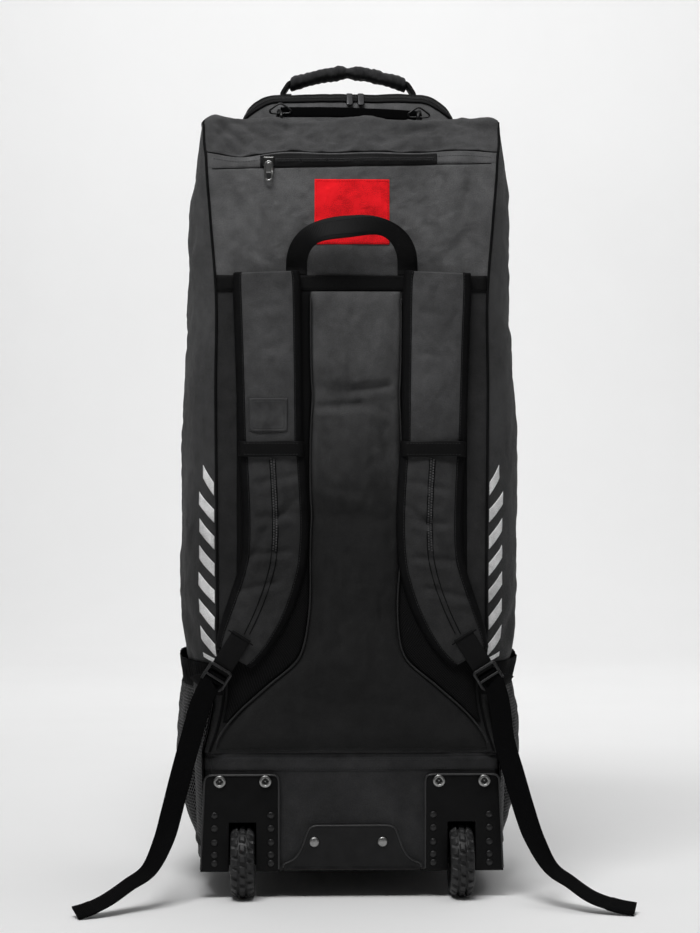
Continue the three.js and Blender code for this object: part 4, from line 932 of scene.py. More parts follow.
# %% Back panel under the pads
def back_lift(x, z):
    half = back_half(z)
    inside = np.clip(1 - (np.abs(x) / half) ** 8, 0, 1)
    top = ramp(BAND_LOW + 4 * MM - z, 0.02) * ramp(z - BOOT_TOP, 0.01)
    return (rumple(x * 1.6, z, 31, 0.05) * 1.1 + rumple(x, z, 32, 0.022) * 0.5 + 1.2) * MM * inside * top


def back_points(u, v):
    z = BOOT_TOP + v * (BAND_MIDDLE - BOOT_TOP)
    x = u * (back_half(z) - 1.2 * MM)
    return as_array(x, -back_lift(x, z) * 0.8, z)


back = sheet_mesh("back_cloth", back_points(*spread(110, 180)), out=(0, -1, 0))
finish_piece(back, STRIP_GREY, node="back_panel", wall=CLOTH)

# %% Webbing band across the back
band_x = level(60, -1, 1) * (back_half(BAND_MIDDLE) - 3 * MM)
web("back_band_webbing", "back_band",
    as_array(band_x, -1.6 * MM - 0.3 * MM * np.cos(band_x * 40), BAND_MIDDLE),
    (0, 0, 1), width=BAND_HIGH - BAND_LOW, thick=1.6 * MM)
stitch_row("back_band_stitches",
           [as_array(band_x[2:-2], -2.7 * MM, z) for z in (BAND_LOW + 2.5 * MM, BAND_HIGH - 2.5 * MM)],
           (0, -1, 0), BINDING)

# %% [markdown]
# ## Hood, sides and front
# The hood starts at its seam, leans back to the ridge and runs over the shoulder to the lid. The
# sides swell between their seams. Their dents are larger and softer, because nothing is sewn to
# the middle of a side.

# %% Hood
HOOD_CORNER = 4.6 * MM


def corner_drop(s):
    """How far the hood's two corners sink, by distance s along the outline: only near the ridge."""
    return HOOD_CORNER * ramp(s - 0.02, 0.02) * hump(np.maximum(0, s - HOOD_SLOPE - 10 * MM), 0.03)


LID_START = HOOD_SLOPE + LID_BACK - RIDGE_IN
LID_LENGTH = OUTLINE - LID_START - LID_END


def outline_point(x, s, lift):
    """A point on the side view's outline, with its edges averaged over a few millimetres."""
    parts = [outline(np.clip(s + shift * MM, 0, OUTLINE)) for shift in (-6, -3, 0, 3, 6)]
    depth, height, ny, nz = (sum(p[k] for p in parts) / len(parts) for k in range(4))
    size = np.hypot(ny, nz)
    return as_array(x, depth + ny / size * lift, height + nz / size * lift)


HOOD_CREASES = [
    (-0.165, 0.045, -0.128, 0.012, 0.004, 3.0),
    (-0.15, 0.052, -0.10, 0.018, 0.005, 2.4),
    (-0.16, 0.03, -0.145, 0.008, 0.0035, 2.0),
    (0.165, 0.03, 0.125, 0.045, 0.0045, 2.2),
    (0.15, 0.05, 0.06, 0.03, 0.006, 1.6),
    (-0.17, 0.01, -0.14, 0.045, 0.007, 3.2),
    (-0.09, 0.04, -0.03, 0.01, 0.006, 1.8),
    (0.02, 0.012, 0.09, 0.036, 0.006, 1.6),
]


def hood_points(u, v):
    s = v * LID_START
    depth, height, _, _ = outline(s)
    x = u * (body_half(height, depth) - 0.6 * MM)
    near_seam = hump(s, 0.02)
    ridge = hump(s - HOOD_SLOPE, 0.012)
    edge = np.clip(1 - np.abs(u) ** 10, 0, 1)
    corner = hump(np.abs(x) - 0.165, 0.014)
    lift = (
        rumple(x * 1.3, s, 41, 0.07) * 1.5 + rumple(x, s, 42, 0.026) * 0.75
        + 1.5 * np.sin(x * 55 + 0.8) * ridge * np.clip(1 - np.abs(u) ** 4, 0, 1)
        + 0.6 * np.sin(x * 240 + 3 * np.sin(x * 31)) * near_seam
        + creases(x, s, HOOD_CREASES)
    ) * edge * ramp(s + 0.002, 0.006) + 4.2 * corner * ridge
    points = outline_point(x, s, lift * MM)
    points[..., 2] += seam_wave(x) * hump(s, 0.016) + 1.8 * MM * np.sin(x * 37 + 1) * ridge
    points[..., 2] -= corner_drop(s) * np.abs(u) ** 22
    points[..., 1] += 1.0 * MM * np.clip(1 - s / 0.012, 0, 1) - 0.8 * MM * np.clip(1 - s / 0.02, 0, 1)
    return points


hood = sheet_mesh("hood_cloth", hood_points(*spread(200, 90)), out=(0, -0.3, 1))
finish_piece(hood, HOOD_GREY, node="hood", wall=CLOTH)
hood_seam_x = level(240, -0.165, 0.165)
stitch_row("hood_seam_stitches", [
    on_upper(hood_seam_x, HOOD_SEAM - 5.5 * MM + seam_wave(hood_seam_x), 0.35 * MM),
], (0, -1, 0.1), THREAD, pitch=3.2 * MM)


# %% Sides
def side_top(depth):
    """Height of the side's upper edge: up the hood's lean, along the shoulder, round the front."""
    slope = (BODY_TOP - HOOD_SEAM) / RIDGE_IN
    s = np.where(depth < RIDGE_IN, depth / RIDGE_IN * HOOD_SLOPE, HOOD_SLOPE + depth - RIDGE_IN)
    inset = CLOTH + 0.4 * MM
    lean = HOOD_SEAM + slope * depth - inset * np.hypot(1, slope)
    past = np.maximum(0, depth - (BODY_DEPTH - FRONT_ROUND))
    r = FRONT_ROUND - inset
    top = np.minimum(np.minimum(lean, BODY_TOP - inset),
                     BODY_TOP - FRONT_ROUND + np.sqrt(np.maximum(0, r * r - past * past)))
    return top - corner_drop(s)


SIDE_CREASES = [
    (0.03, 0.80, 0.15, 0.70, 0.012, 3.0),
    (0.05, 0.70, 0.20, 0.62, 0.010, 2.4),
    (0.02, 0.30, 0.16, 0.42, 0.012, 3.0),
    (0.06, 0.86, 0.25, 0.80, 0.010, 2.6),
    (0.2, 0.5, 0.3, 0.56, 0.010, 2.2),
    (0.08, 0.58, 0.2, 0.53, 0.009, 1.8),
]


def side_relief(depth, z, side):
    """Dents of a side: wide and soft, drawn into slanting folds towards the buckle and the top."""
    edge = ramp(depth, 0.03) * ramp(BODY_DEPTH - depth, 0.03) * ramp(z - BOOT_TOP, 0.03)
    edge = edge * ramp(side_top(depth) - z, 0.03)
    soft = rumple(depth, z * 0.75, 50 + side, 0.2) * 1.5 + rumple(depth * 1.3, z, 55 + side, 0.07) * 0.8
    small = rumple(depth, z, 60 + side, 0.028) * 0.3
    folds = creases(depth, z, SIDE_CREASES)
    return (soft + small + folds) * MM * edge


def side_x(depth, z, side):
    return side * (body_half(z, depth) + side_relief(depth, z, side))


def side_points(u, v, side):
    depth = u * (BODY_DEPTH - CLOTH - 0.8 * MM)
    z = BOOT_TOP + v * (side_top(depth) - BOOT_TOP)
    return as_array(side_x(depth, z, side), depth, z)


SIDES = (("right", 1), ("left", -1))
for name, side in SIDES:
    columns = level(96, 0, 1) ** 1.15
    panel = sheet_mesh(f"side_cloth_{name}", side_points(*np.meshgrid(columns, level(200, 0, 1)), side),
                       out=(side, 0, 0))
    finish_piece(panel, SIDE_GREY, node=f"side_panel_{name}", wall=CLOTH)

# %% White slanted bars beside the back seams
BAR_COUNT = 8
BAR_PITCH = 32 * MM
BAR_TOP = 515 * MM
BAR_HEIGHT = 15.5 * MM
BAR_DROP = 21 * MM
BAR_DEPTHS = (1.2 * MM, 21.5 * MM)


def bar_points(u, v, side, number):
    """A slanted bar on the side: across it the depth grows, and its height rises with depth. The
    first bar is narrower, and only the upper corner of the last one shows above the strap."""
    width = BAR_DEPTHS[1] - BAR_DEPTHS[0]
    depth = BAR_DEPTHS[0] + u * width * (0.72 if number == 0 else 1)
    short = 0.35 if number == BAR_COUNT - 1 else 1
    z = BAR_TOP - number * BAR_PITCH - (1 - u) * BAR_DROP * short - v * BAR_HEIGHT * short
    points = as_array(side_x(depth, z, side), depth, z)
    return points + unit(np.array([side, -1.1, 0])) * 0.5 * MM


for name, side in SIDES:
    grid = spread(10, 8, left=0)
    bars = [sheet_mesh("bar", bar_points(*grid, side, i), out=(side, -1, 0)) for i in range(BAR_COUNT)]
    finish_piece(as_one(f"white_bars_{name}", bars), WHITE, wall=0.35 * MM)


# %% Front walls and lid
def end_rise(d):
    """Share of the lid's full height at distance d from its start: a rounded step at each end."""
    return np.sqrt(1 - (1 - ramp(np.minimum(d, LID_LENGTH - d), LID_ROUND)) ** 3)


def over_front(d):
    return ramp(LID_START + d - HOOD_SLOPE - SHOULDER, QUARTER)


def lid_size(d):
    """The lid's half width and its rise at distance d."""
    full = LID_RISE + (LID_FRONT_RISE - LID_RISE) * over_front(d)
    return LID_HALF * (0.76 + 0.24 * end_rise(d)), np.maximum(5.7 * MM, full * end_rise(d))


def lid_point(d, t, lift=0.0):
    """The lid at distance d along it and t across it: a quarter ellipse up, flat, and down."""
    half, rise = lid_size(d)
    flat = half - LID_CORNER
    turn = np.clip(np.minimum(t, 1 - t) * 4, 0, 1)
    x = np.where(turn < 1, np.where(t < 0.5, -1, 1) * (flat + LID_CORNER * np.cos(turn * np.pi / 2)),
                 (t - 0.5) * 4 * flat)
    height = (rise + CLOTH) * np.sin(turn * np.pi / 2) - CLOTH
    crown = 1.5 * MM * np.cos(np.clip((t - 0.5) * 2, -1, 1) * np.pi / 2) ** 2 * end_rise(d)
    dents = rumple(x * 1.2, d, 71, 0.11) * 1.3 + rumple(x, d, 72, 0.035) * 0.4
    return outline_point(x, LID_START + d,
                         height + crown + dents * MM * np.clip(turn * 1.5, 0, 1) * end_rise(d) ** 4
                         + lift)


across, along = np.meshgrid(np.concatenate([level(22, 0, 0.25)[:-1], level(50, 0.25, 0.75)[:-1],
                                            level(22, 0.75, 1)]),
                            np.concatenate([level(16, 0, 1)[:-1] ** 2 * LID_ROUND,
                                            level(200, LID_ROUND, LID_LENGTH - LID_ROUND)[:-1],
                                            LID_LENGTH - level(16, 1, 0) ** 2 * LID_ROUND]))
lid = sheet_mesh("lid_cloth", lid_point(along, across))
finish_piece(lid, GREY, node="front_lid", wall=CLOTH)


def front_points(d, c, side):
    depth, height, _, _ = outline(LID_START + d)
    inner = lid_size(np.minimum(d, LID_LENGTH))[0] - 1.5 * MM
    outer = body_half(height, depth) - 0.5 * MM
    dents = (rumple(c * 0.06, d * 0.7, 75 + side, 0.06) * 0.9 + 0.4) * np.sin(c * np.pi) * MM
    return outline_point(side * (inner + (outer - inner) * c), LID_START + d, dents)


for name, side in SIDES:
    c, d = np.meshgrid(level(20, 0, 1), level(220, 0, LID_LENGTH + LID_END))
    wall = sheet_mesh(f"front_cloth_{name}", front_points(d, c, side))
    finish_piece(wall, GREY, node=f"front_wall_{name}", wall=CLOTH)


# %% Piping along the back and front seams
def seam_path(side, front):
    """The piping's line: up the back and the hood, or over the shoulder and down the front."""
    z = level(150, BOOT_TOP + 2 * MM, HOOD_SEAM if not front else BODY_TOP - FRONT_ROUND)
    if front:
        s = HOOD_SLOPE + level(60, 0, 1) * (SHOULDER + QUARTER)
        depth, height, _, _ = outline(s)
        top = outline_point(side * (body_half(height, depth) - 0.4 * MM), s, 0.5 * MM)
        top[:, 2] -= corner_drop(s)
        down = as_array(side * (body_half(z[::-1], BODY_DEPTH) - 0.4 * MM), BODY_DEPTH - 0.4 * MM,
                        z[::-1])
        return np.concatenate([top, down[1:]])
    up = as_array(side * (back_half(z) - 1.6 * MM), -1.6 * MM, z)
    s = level(20, 0, 1)[1:] * HOOD_SLOPE
    depth, height, _, _ = outline(s)
    drop = corner_drop(s)
    hood_edge = as_array(side * (body_half(height, depth) - 0.6 * MM), depth - 0.6 * MM,
                         height + 0.4 * MM - drop)
    return np.concatenate([up, hood_edge])


for name, side in SIDES:
    back_cord = cord_mesh(f"back_piping_{name}", evened(seam_path(side, False), 260), 1.6 * MM)
    finish_piece(back_cord, BINDING, node=f"piping_{name}")
    finish_piece(cord_mesh(f"front_piping_{name}", evened(seam_path(side, True), 300), 1.8 * MM),
                 BINDING)

# %% [markdown]
# ## Zips
# A coil zip is a dark tape with a raised coil along its middle. The tape follows the lid: its
# path is given in the lid's own two coordinates, and the lid's slopes give the tape its width
# and its lift. Each coil turn is the same small eight-sided bead.

# %% The lid's zip
ZIP_WIDTH = 15 * MM
ZIP_LIFT = 1.3 * MM
ZIP_BACK = 11 * MM
BEAD = [(-1, -0.6, 0), (1, -0.6, 0), (1, 0.6, 0), (-1, 0.6, 0), (-0.7, -0.4, 1), (0.7, -0.4, 1),
        (0.7, 0.4, 1), (-0.7, 0.4, 1)]
BEAD_FACES = [(4, 5, 6, 7), (0, 1, 5, 4), (1, 2, 6, 5), (2, 3, 7, 6), (3, 0, 4, 7)]


def zip_coil(name, path, out, material=None, pitch=1.7 * MM, wide=1.9 * MM, thick=0.62, apart=0.55):
    """Two staggered rows of beads along a path, raised off the tape. A bead is pitch long and
    its share thick of wide across; the rows are apart that share of wide from the middle."""
    places, run = spaced(path, pitch)
    lift = unit(out(places) if callable(out) else np.broadcast_to(np.asarray(out, float), run.shape))
    aside = unit(np.cross(lift, run))
    rows = []
    for side in (-1, 1):
        frames = np.stack([aside * wide * thick, run * pitch * 0.5, lift * 0.9 * MM], 1)
        rows.append((places + aside * wide * apart * side + run * pitch * 0.25 * side, frames))
    made = scatter(name, BEAD, BEAD_FACES, np.concatenate([r[0] for r in rows]),
                   np.concatenate([r[1] for r in rows]))
    return finish_piece(made, material or COIL)


def zip_places(count):
    """Where the lid's zip runs: (distance along the lid, share across it), up, over and down."""
    d = level(160, LID_LENGTH - 16 * MM, 60 * MM)
    up = np.stack([d, 0.05 + 0.06 * over_front(d)], -1)
    turn = curve([(60 * MM, 0.05), (40 * MM, 0.05), (26 * MM, 0.057), (17 * MM, 0.078),
                  (12.5 * MM, 0.112), (ZIP_BACK, 0.155),
                  (ZIP_BACK, 0.205), (ZIP_BACK, 0.25)], 60)[1:]
    half = np.concatenate([up, turn, np.stack([np.full(40, ZIP_BACK), level(41, 0.25, 0.5)[1:]], -1)])
    whole = np.concatenate([half, np.stack([half[-2::-1, 0], 1 - half[-2::-1, 1]], -1)])
    run = distances(lid_point(whole[:, 0], whole[:, 1]))
    at = level(count, 0, run[-1])
    return np.interp(at, run, whole[:, 0]), np.interp(at, run, whole[:, 1])


def lid_frame(d, t):
    """The lid's point with its outward normal, from slopes over a millimetre or so."""
    over = lid_point(d, t + 0.003) - lid_point(d, t - 0.003)
    ahead = lid_point(d + 1.5 * MM, t) - lid_point(d - 1.5 * MM, t)
    return lid_point(d, t), unit(np.cross(over, ahead))


zip_d, zip_t = zip_places(900)
zip_middle, zip_normal = lid_frame(zip_d, zip_t)
zip_normal = unit(averaged(zip_normal, 6))
if np.sum(zip_normal * (zip_middle - MIDDLE)) < 0:
    zip_normal = -zip_normal
zip_run = unit(np.gradient(zip_middle, axis=0))
zip_across = unit(np.cross(zip_normal, zip_run))
tape_side = level(7, -0.5, 0.5)[None, :, None] * ZIP_WIDTH
tape = zip_middle[:, None] + zip_across[:, None] * tape_side + (zip_normal * ZIP_LIFT)[:, None]
finish_piece(sheet_mesh("lid_zip_tape", tape), TAPE, node="lid_zip", wall=0.9 * MM)
lid_coil_path = zip_middle + zip_normal * (ZIP_LIFT + 0.1 * MM)


def off_lid(points):
    """Outward direction at points near the zip: the normal of the closest sample of its path."""
    near = np.argmin(np.linalg.norm(points[:, None] - lid_coil_path[None, ::3], axis=-1), axis=1) * 3
    return zip_normal[near]


zip_coil("lid_zip_coil", lid_coil_path, off_lid)
tape_edges = [zip_middle + zip_across * side * ZIP_WIDTH * 0.4 + zip_normal * (ZIP_LIFT + 0.15 * MM)
              for side in (-1, 1)]
stitch_row("lid_zip_stitches", tape_edges, off_lid, BINDING)

# %% [markdown]
# ## Copies of the construction's hard parts
# Buckles, sliders, the wheel housings and the skid already have the right shape in the
# construction model, but with knife-sharp edges. A merged copy takes a small bevel, which catches
# the light as a moulded edge does.

# %% A bevelled copy of a construction node
def from_node(name, node, material, edge, body="bag", shift=(0, 0, 0)):
    """A finished copy of a node, its edges bevelled, that stands for the node."""
    made = bmesh.new()
    made.from_mesh(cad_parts[node].data)
    bmesh.ops.remove_doubles(made, verts=made.verts, dist=1e-5)
    bmesh.ops.dissolve_limit(made, angle_limit=np.radians(2), verts=made.verts, edges=made.edges)
    bmesh.ops.translate(made, vec=shift, verts=made.verts)
    bmesh.ops.recalc_face_normals(made, faces=made.faces)
    piece = placed(name, mesh_of(name, made))
    return finish_piece(piece, material, body=body, node=node, edge=edge)


# %% Pulls of the lid's zip, and the back pocket's zip
for name, side in SIDES:
    from_node(f"lid_pull_{name}", f"lid_zip_pull_{name}", BLACK_NICKEL, 1.5 * MM,
              shift=(8 * MM, 0, 0))
SLOT_LOW, SLOT_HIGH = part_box("pocket_zip")
slot_x = level(160, SLOT_LOW.x - 4 * MM, SLOT_HIGH.x - 4 * MM)


def slot_height(x, share):
    """Height on the zip's tape, by its share between the pocket's seam and the hood's seam."""
    low, high = pocket_seam(x) - 0.5 * MM, HOOD_SEAM + seam_wave(x) * 0.8 - 1.5 * MM
    return low + share * (high - low)


grid_x, grid_share = np.meshgrid(slot_x, level(9, 0, 1))
slot_tape = on_upper(grid_x, slot_height(grid_x, grid_share), 0.9 * MM)
finish_piece(sheet_mesh("pocket_zip_tape", slot_tape, out=(0, -1, 0)), TAPE, node="pocket_zip",
             wall=0.9 * MM)
coil_x = slot_x[3:-3]
zip_coil("pocket_zip_coil", on_upper(coil_x, slot_height(coil_x, 0.5), 1.1 * MM), (0, -1, 0))
stitch_row("pocket_zip_stitches",
           [on_upper(slot_x, slot_height(slot_x, share), 1.2 * MM) for share in (0.1, 0.9)],
           (0, -1, 0), BINDING)
for name, reach in (("left", (-0.166, slot_x[0])), ("right", (slot_x[-1], 0.166))):
    seam_x = level(60, *reach)
    line = cord_mesh(f"pocket_seam_{name}", on_upper(seam_x, pocket_seam(seam_x), 0.1 * MM), 0.55 * MM,
                     8)
    finish_piece(line, BINDING)
SLIDER_SHIFT = (-6 * MM, 0, 6.5 * MM)
from_node("pocket_slider_body", "pocket_slider", SLIDER, 1.9 * MM, shift=SLIDER_SHIFT)
PULL_LOW, PULL_HIGH = (np.array(c) - (0, BACK_Y, 0) + SLIDER_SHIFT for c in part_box("pocket_pull"))


def pull_tab():
    """The slider's tab: a bent wire of stadium shape, with a plate over its upper two thirds."""
    middle, half = (PULL_LOW + PULL_HIGH) / 2, (PULL_HIGH - PULL_LOW) / 2 - (1.4 * MM, 0, 1.4 * MM)
    turn = np.linspace(0, 2 * np.pi, 49)
    straight = (half[2] - half[0]) * np.sign(np.sin(turn)) * np.minimum(1, np.abs(np.sin(turn)) * 6)
    path = as_array(middle[0] + half[0] * np.cos(turn), middle[1],
                    middle[2] + half[0] * np.sin(turn) + straight)
    high = as_array(middle[0], middle[1], level(6, middle[2] - half[2] * 0.25, middle[2] + half[2]))
    a, b = SECTION.T
    plate = high[:, None] + np.stack([a * half[0], -b * 0.6 * MM, 0 * a], -1)
    return as_one("pocket_pull_tab", [cord_mesh("wire", path, 1.35 * MM), tube_mesh("plate", plate)])


finish_piece(pull_tab(), NICKEL, node="pocket_pull")

# %% Red label, bare, with a woven border
PATCH_LOW, PATCH_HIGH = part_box("badge_patch")


def patch_points(u, v):
    """A square that lies on the upper panel's folds, with a slight ripple of its own."""
    half_x, half_z = PATCH_HIGH.x, (PATCH_HIGH.z - PATCH_LOW.z) / 2
    x, z = u * half_x, (PATCH_LOW.z + PATCH_HIGH.z) / 2 + v * half_z
    return on_upper(x, z, 1.0 * MM + 0.25 * MM * np.sin(x * 70 + z * 40))


patch = sheet_mesh("red_label_cloth", patch_points(*spread(60, 54, low=-1)), out=(0, -1, 0))
finish_piece(patch, RED, node="badge_patch", wall=1.1 * MM)
edge_u = np.concatenate([level(40, -0.96, 0.96), np.full(40, 0.96), level(40, 0.96, -0.96),
                         np.full(40, -0.96)])
edge_v = np.concatenate([np.full(40, -0.955), level(40, -0.955, 0.955), np.full(40, 0.955),
                         level(40, 0.955, -0.955)])
rim = patch_points(edge_u, edge_v) - (0, 0.25 * MM, 0)
RED_THREAD = cloth("red_thread", (0.5, 0.008, 0.014), roughness=0.6, threads=1500.0)
stitch_row("red_label_stitches", rim, (0, -1, 0), RED_THREAD, pitch=3.0 * MM)

# %% [markdown]
# ## Pads and straps
# The padded panel, the spacer mesh beside it and the shoulder straps are all cushions: a crowned
# front that rolls down to its edges, and a flat back on what carries it. One function makes them
# from a middle line, a width and a thickness, and each gets its own folds and creases.

# %% One maker for every pad
PAD_ACROSS = np.sin(level(49, -np.pi / 2, np.pi / 2))


CROWN_FLAT, CROWN_DOME, CROWN_REACH = 6.0, 0.2, 0.76


def crown(c):
    """Height of a pad across it as a share: round edges, and a dome in the middle."""
    dome = CROWN_DOME * np.clip(1 - (c / CROWN_REACH) ** 2, 0, 1)
    return np.sqrt(np.clip(1 - np.abs(c) ** CROWN_FLAT, 0, 1)) * (1 - CROWN_DOME + dome)


def taper(count, first, last, reach):
    """A share for each ring that rises from first, is 1 in between, and falls to last."""
    at = np.arange(count) / reach
    start = first + (1 - first) * np.sqrt(1 - (1 - np.clip(at, 0, 1)) ** 2)
    end = last + (1 - last) * np.sqrt(1 - (1 - np.clip(at[::-1], 0, 1)) ** 2)
    return np.minimum(start, end)


def pad_front(middle, across, half, base, thick, fold, c, lift=0.0):
    """Front surface of a pad, by ring and by the share c across it."""
    x = middle[:, 0:1] + c * half[:, None] * across[:, 0:1]
    z = middle[:, 1:2] + c * half[:, None] * across[:, 1:2]
    height = (thick[:, None] * crown(c) + fold(x, z) * MM * np.clip(1 - np.abs(c) ** 6, 0, 1)
              * ramp(thick[:, None], thick.max()))
    return as_array(x, -(base + np.maximum(height, 0) + lift), z)


def pad_rings(middle, across, half, base, thick, fold):
    """Rings of a whole pad: its folded front, and a flat back on what carries it."""
    front = pad_front(middle, across, half, base, thick, fold, PAD_ACROSS)
    back = front[:, -2:0:-1].copy()
    back[..., 1] = -base
    return np.concatenate([front, back], axis=1)


# %% Centre panel
PAD_Z = [0.19, 0.205, 0.233, 0.27, 0.307, 0.326, 0.35, 0.468, 0.489, 0.51, 0.62, 0.642, 0.662, 0.72,
         0.775]
PAD_STRAIGHT = [1, 1, 1, 1, 1, 1, 1, 1, 0.98, 1, 0.98, 0.96, 0.98, 1, 1]
PAD_FLARE = [0.665, 0.645, 0.53, 0.3, 0.06, 0.02, 0, 0, 0, 0, 0, 0, 0, 0, 0]
PAD_FILL = [0.6, 0.85, 0.95, 1, 1, 1, 1, 1, 0.72, 1, 1.05, 0.68, 1, 1, 0.8]
CENTRE_HALF = 53 * MM
CENTRE_THICK = 12 * MM
PAD_BASE = 0.4 * MM
LEVEL_ACROSS = np.array([[1.0, 0.0]])


def centre_half(z):
    return (CENTRE_HALF * smooth(PAD_Z, PAD_STRAIGHT, z / BODY_TOP) + BACK_HALF
            * smooth(PAD_Z, PAD_FLARE, z / BODY_TOP))


def centre_x(z):
    """The panel's middle line: sewn a few millimetres to the right above the flare."""
    return 4.5 * MM * ramp(z - 0.3, 0.12)


CENTRE_CREASES = [
    (-0.004, 0.604, 0.05, 0.610, 0.005, 6.6),
    (-0.05, 0.583, 0.018, 0.588, 0.005, 6.8),
    (-0.046, 0.612, 0.0, 0.600, 0.007, 2.4),
    (0.02, 0.586, 0.05, 0.574, 0.005, 2.6),
    (-0.038, 0.575, -0.034, 0.44, 0.008, 4.6),
    (0.047, 0.42, 0.041, 0.575, 0.009, 5.2),
    (-0.044, 0.66, -0.03, 0.615, 0.007, 2.0),
    (0.052, 0.625, 0.044, 0.72, 0.006, 2.2),
    (-0.03, 0.456, 0.052, 0.448, 0.006, 2.0),
    (-0.05, 0.492, 0.02, 0.480, 0.005, 1.2),
    (0.02, 0.56, 0.035, 0.47, 0.005, 1.2),
    (-0.028, 0.43, -0.02, 0.34, 0.006, 1.2),
    (-0.09, 0.25, -0.02, 0.23, 0.008, 1.8),
    (0.02, 0.24, 0.11, 0.215, 0.008, 1.8),
]


def centre_fold(x, z):
    """Creases where the panel bends, long soft drapes, and small dents in the foam."""
    return (
        creases(x, z, CENTRE_CREASES)
        + rumple(x * 1.7, z * 0.9, 81, 0.06) * 1.5 + rumple(x, z, 82, 0.024) * 0.5
    )


centre_z = level(200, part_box("back_centre_pad")[0].z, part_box("back_centre_pad")[1].z)
centre_line = np.stack([centre_x(centre_z), centre_z], -1)
centre_thick = CENTRE_THICK * smooth(PAD_Z, PAD_FILL, centre_z / BODY_TOP) * taper(200, 0.35, 0.4, 7)
centre_rings = pad_rings(centre_line, LEVEL_ACROSS, centre_half(centre_z), PAD_BASE, centre_thick,
                         centre_fold)
# The centre panel's cloth carries painted shade: darker between the straps and lower down.
centre_pad = finish_piece(tube_mesh("centre_panel", centre_rings), CENTRE_PAINTED_SHADE, node="back_centre_pad")
for name, side in SIDES:
    edge = as_array(centre_x(centre_z) + side * (centre_half(centre_z) + 0.6 * MM), -6.4 * MM,
                    centre_z)[3:-3]
    finish_piece(cord_mesh(f"centre_piping_{name}", evened(edge, 200), 1.15 * MM), PIPE)

# %% Spacer mesh beside it
MESH_THICK = 8 * MM
MESH_HALF = 137 * MM
MESH_WIDEN = 0.372 * BODY_TOP
for name, side in SIDES:
    low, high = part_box(f"back_mesh_{name}")
    z = level(160, low.z, high.z)
    inner = centre_half(z) + 1.6 * MM + side * centre_x(z)
    wide = ramp(MESH_WIDEN - z, 0.06 * BODY_TOP)
    outer = MESH_HALF + wide * wide * (3 - 2 * wide) * (back_half(z) - 6 * MM - MESH_HALF)
    line = np.stack([side * (inner + outer) / 2, z], -1)
    thick = MESH_THICK * taper(160, 0.3, 0.35, 6)
    rings = pad_rings(line, LEVEL_ACROSS, (outer - inner) / 2, PAD_BASE, thick,
                      lambda x, z: rumple(x, z, 85, 0.035) * 0.5)
    mesh_pad = finish_piece(tube_mesh(f"mesh_pad_{name}", rings), AIR_MESH, node=f"back_mesh_{name}")

# %% Shoulder straps
STRAP_UPPER = [(0.624, 0.799, 0.235), (0.62, 0.78, 0.243), (0.608, 0.7, 0.238), (0.6, 0.63, 0.234),
               (0.594, 0.576, 0.23)]
STRAP_LOWER = [(0.583, 0.572, 0.232), (0.56, 0.49, 0.236), (0.568, 0.44, 0.234), (0.605, 0.408, 0.232),
               (0.668, 0.376, 0.228),
               (0.735, 0.3495, 0.214), (0.8, 0.3275, 0.19), (0.862, 0.3085, 0.145)]
STRAP_SCALE = np.array([BACK_HALF, BODY_TOP, BACK_HALF])
STRAP_BASE = 9.2 * MM
STRAP_THICK = 12 * MM
STRAP_JOIN = 0.574 * BODY_TOP
BINDING_FROM = 0.76


def strap_parts(table, side, count, thick, ends):
    """What pad_front needs of a strap: middle line, way across, half width, base, thickness."""
    rows = curve(np.array(table) * STRAP_SCALE, count)
    run = unit(np.gradient(rows[:, :2], axis=0))
    across = np.stack([-run[:, 1] * side, run[:, 0]], -1)
    middle = rows[:, :2] * (side, 1)
    return middle, across, rows[:, 2], STRAP_BASE, thick * taper(count, *ends, 6)


def strap_fold(side, part):
    """Dents of a strap: long ones along the upper part, slanting creases on the lower."""
    lines = {
        "upper": [(0.08, 0.70, 0.12, 0.694), (0.085, 0.652, 0.11, 0.646)],
        "lower": [(0.06, 0.50, 0.12, 0.488), (0.065, 0.455, 0.115, 0.448), (0.07, 0.41, 0.125, 0.405),
                  (0.085, 0.375, 0.14, 0.36),
                  (0.06, 0.475, 0.10, 0.44), (0.10, 0.44, 0.125, 0.39)],
    }[part]

    def fold(x, z):
        total = (rumple(x * 1.4, z * 0.7, 90 + side + len(part) + len(lines), 0.05) * 0.8
                 + rumple(x, z, 95 + side, 0.02) * 0.3)
        for x0, z0, x1, z1 in lines:
            total = (total + crease(x * side, z + side * 0.004, (x0, z0), (x1, z1), 0.005,
                                    2.6 if part == "lower" else 1.0))
        return total

    return fold


def binding_sheet(name, parts, fold, edge):
    """Tape folded over one edge of a strap: front, round the edge, and a little of the back."""
    middle, across, half, base, thick = parts
    front = pad_front(middle, across, half, base, thick, fold,
                      edge * np.sin(level(12, np.arcsin(BINDING_FROM), np.pi / 2)))
    back = front[:, -2:4:-1].copy()
    back[..., 1] = -base
    grid = np.concatenate([front, back], axis=1)
    inside = np.stack([middle[:, 0], -base - thick / 2, middle[:, 1]], -1)[:, None]
    return sheet_mesh(name, pushed(grid, 0.8 * MM, grid - inside), out=(0, -1, 0))


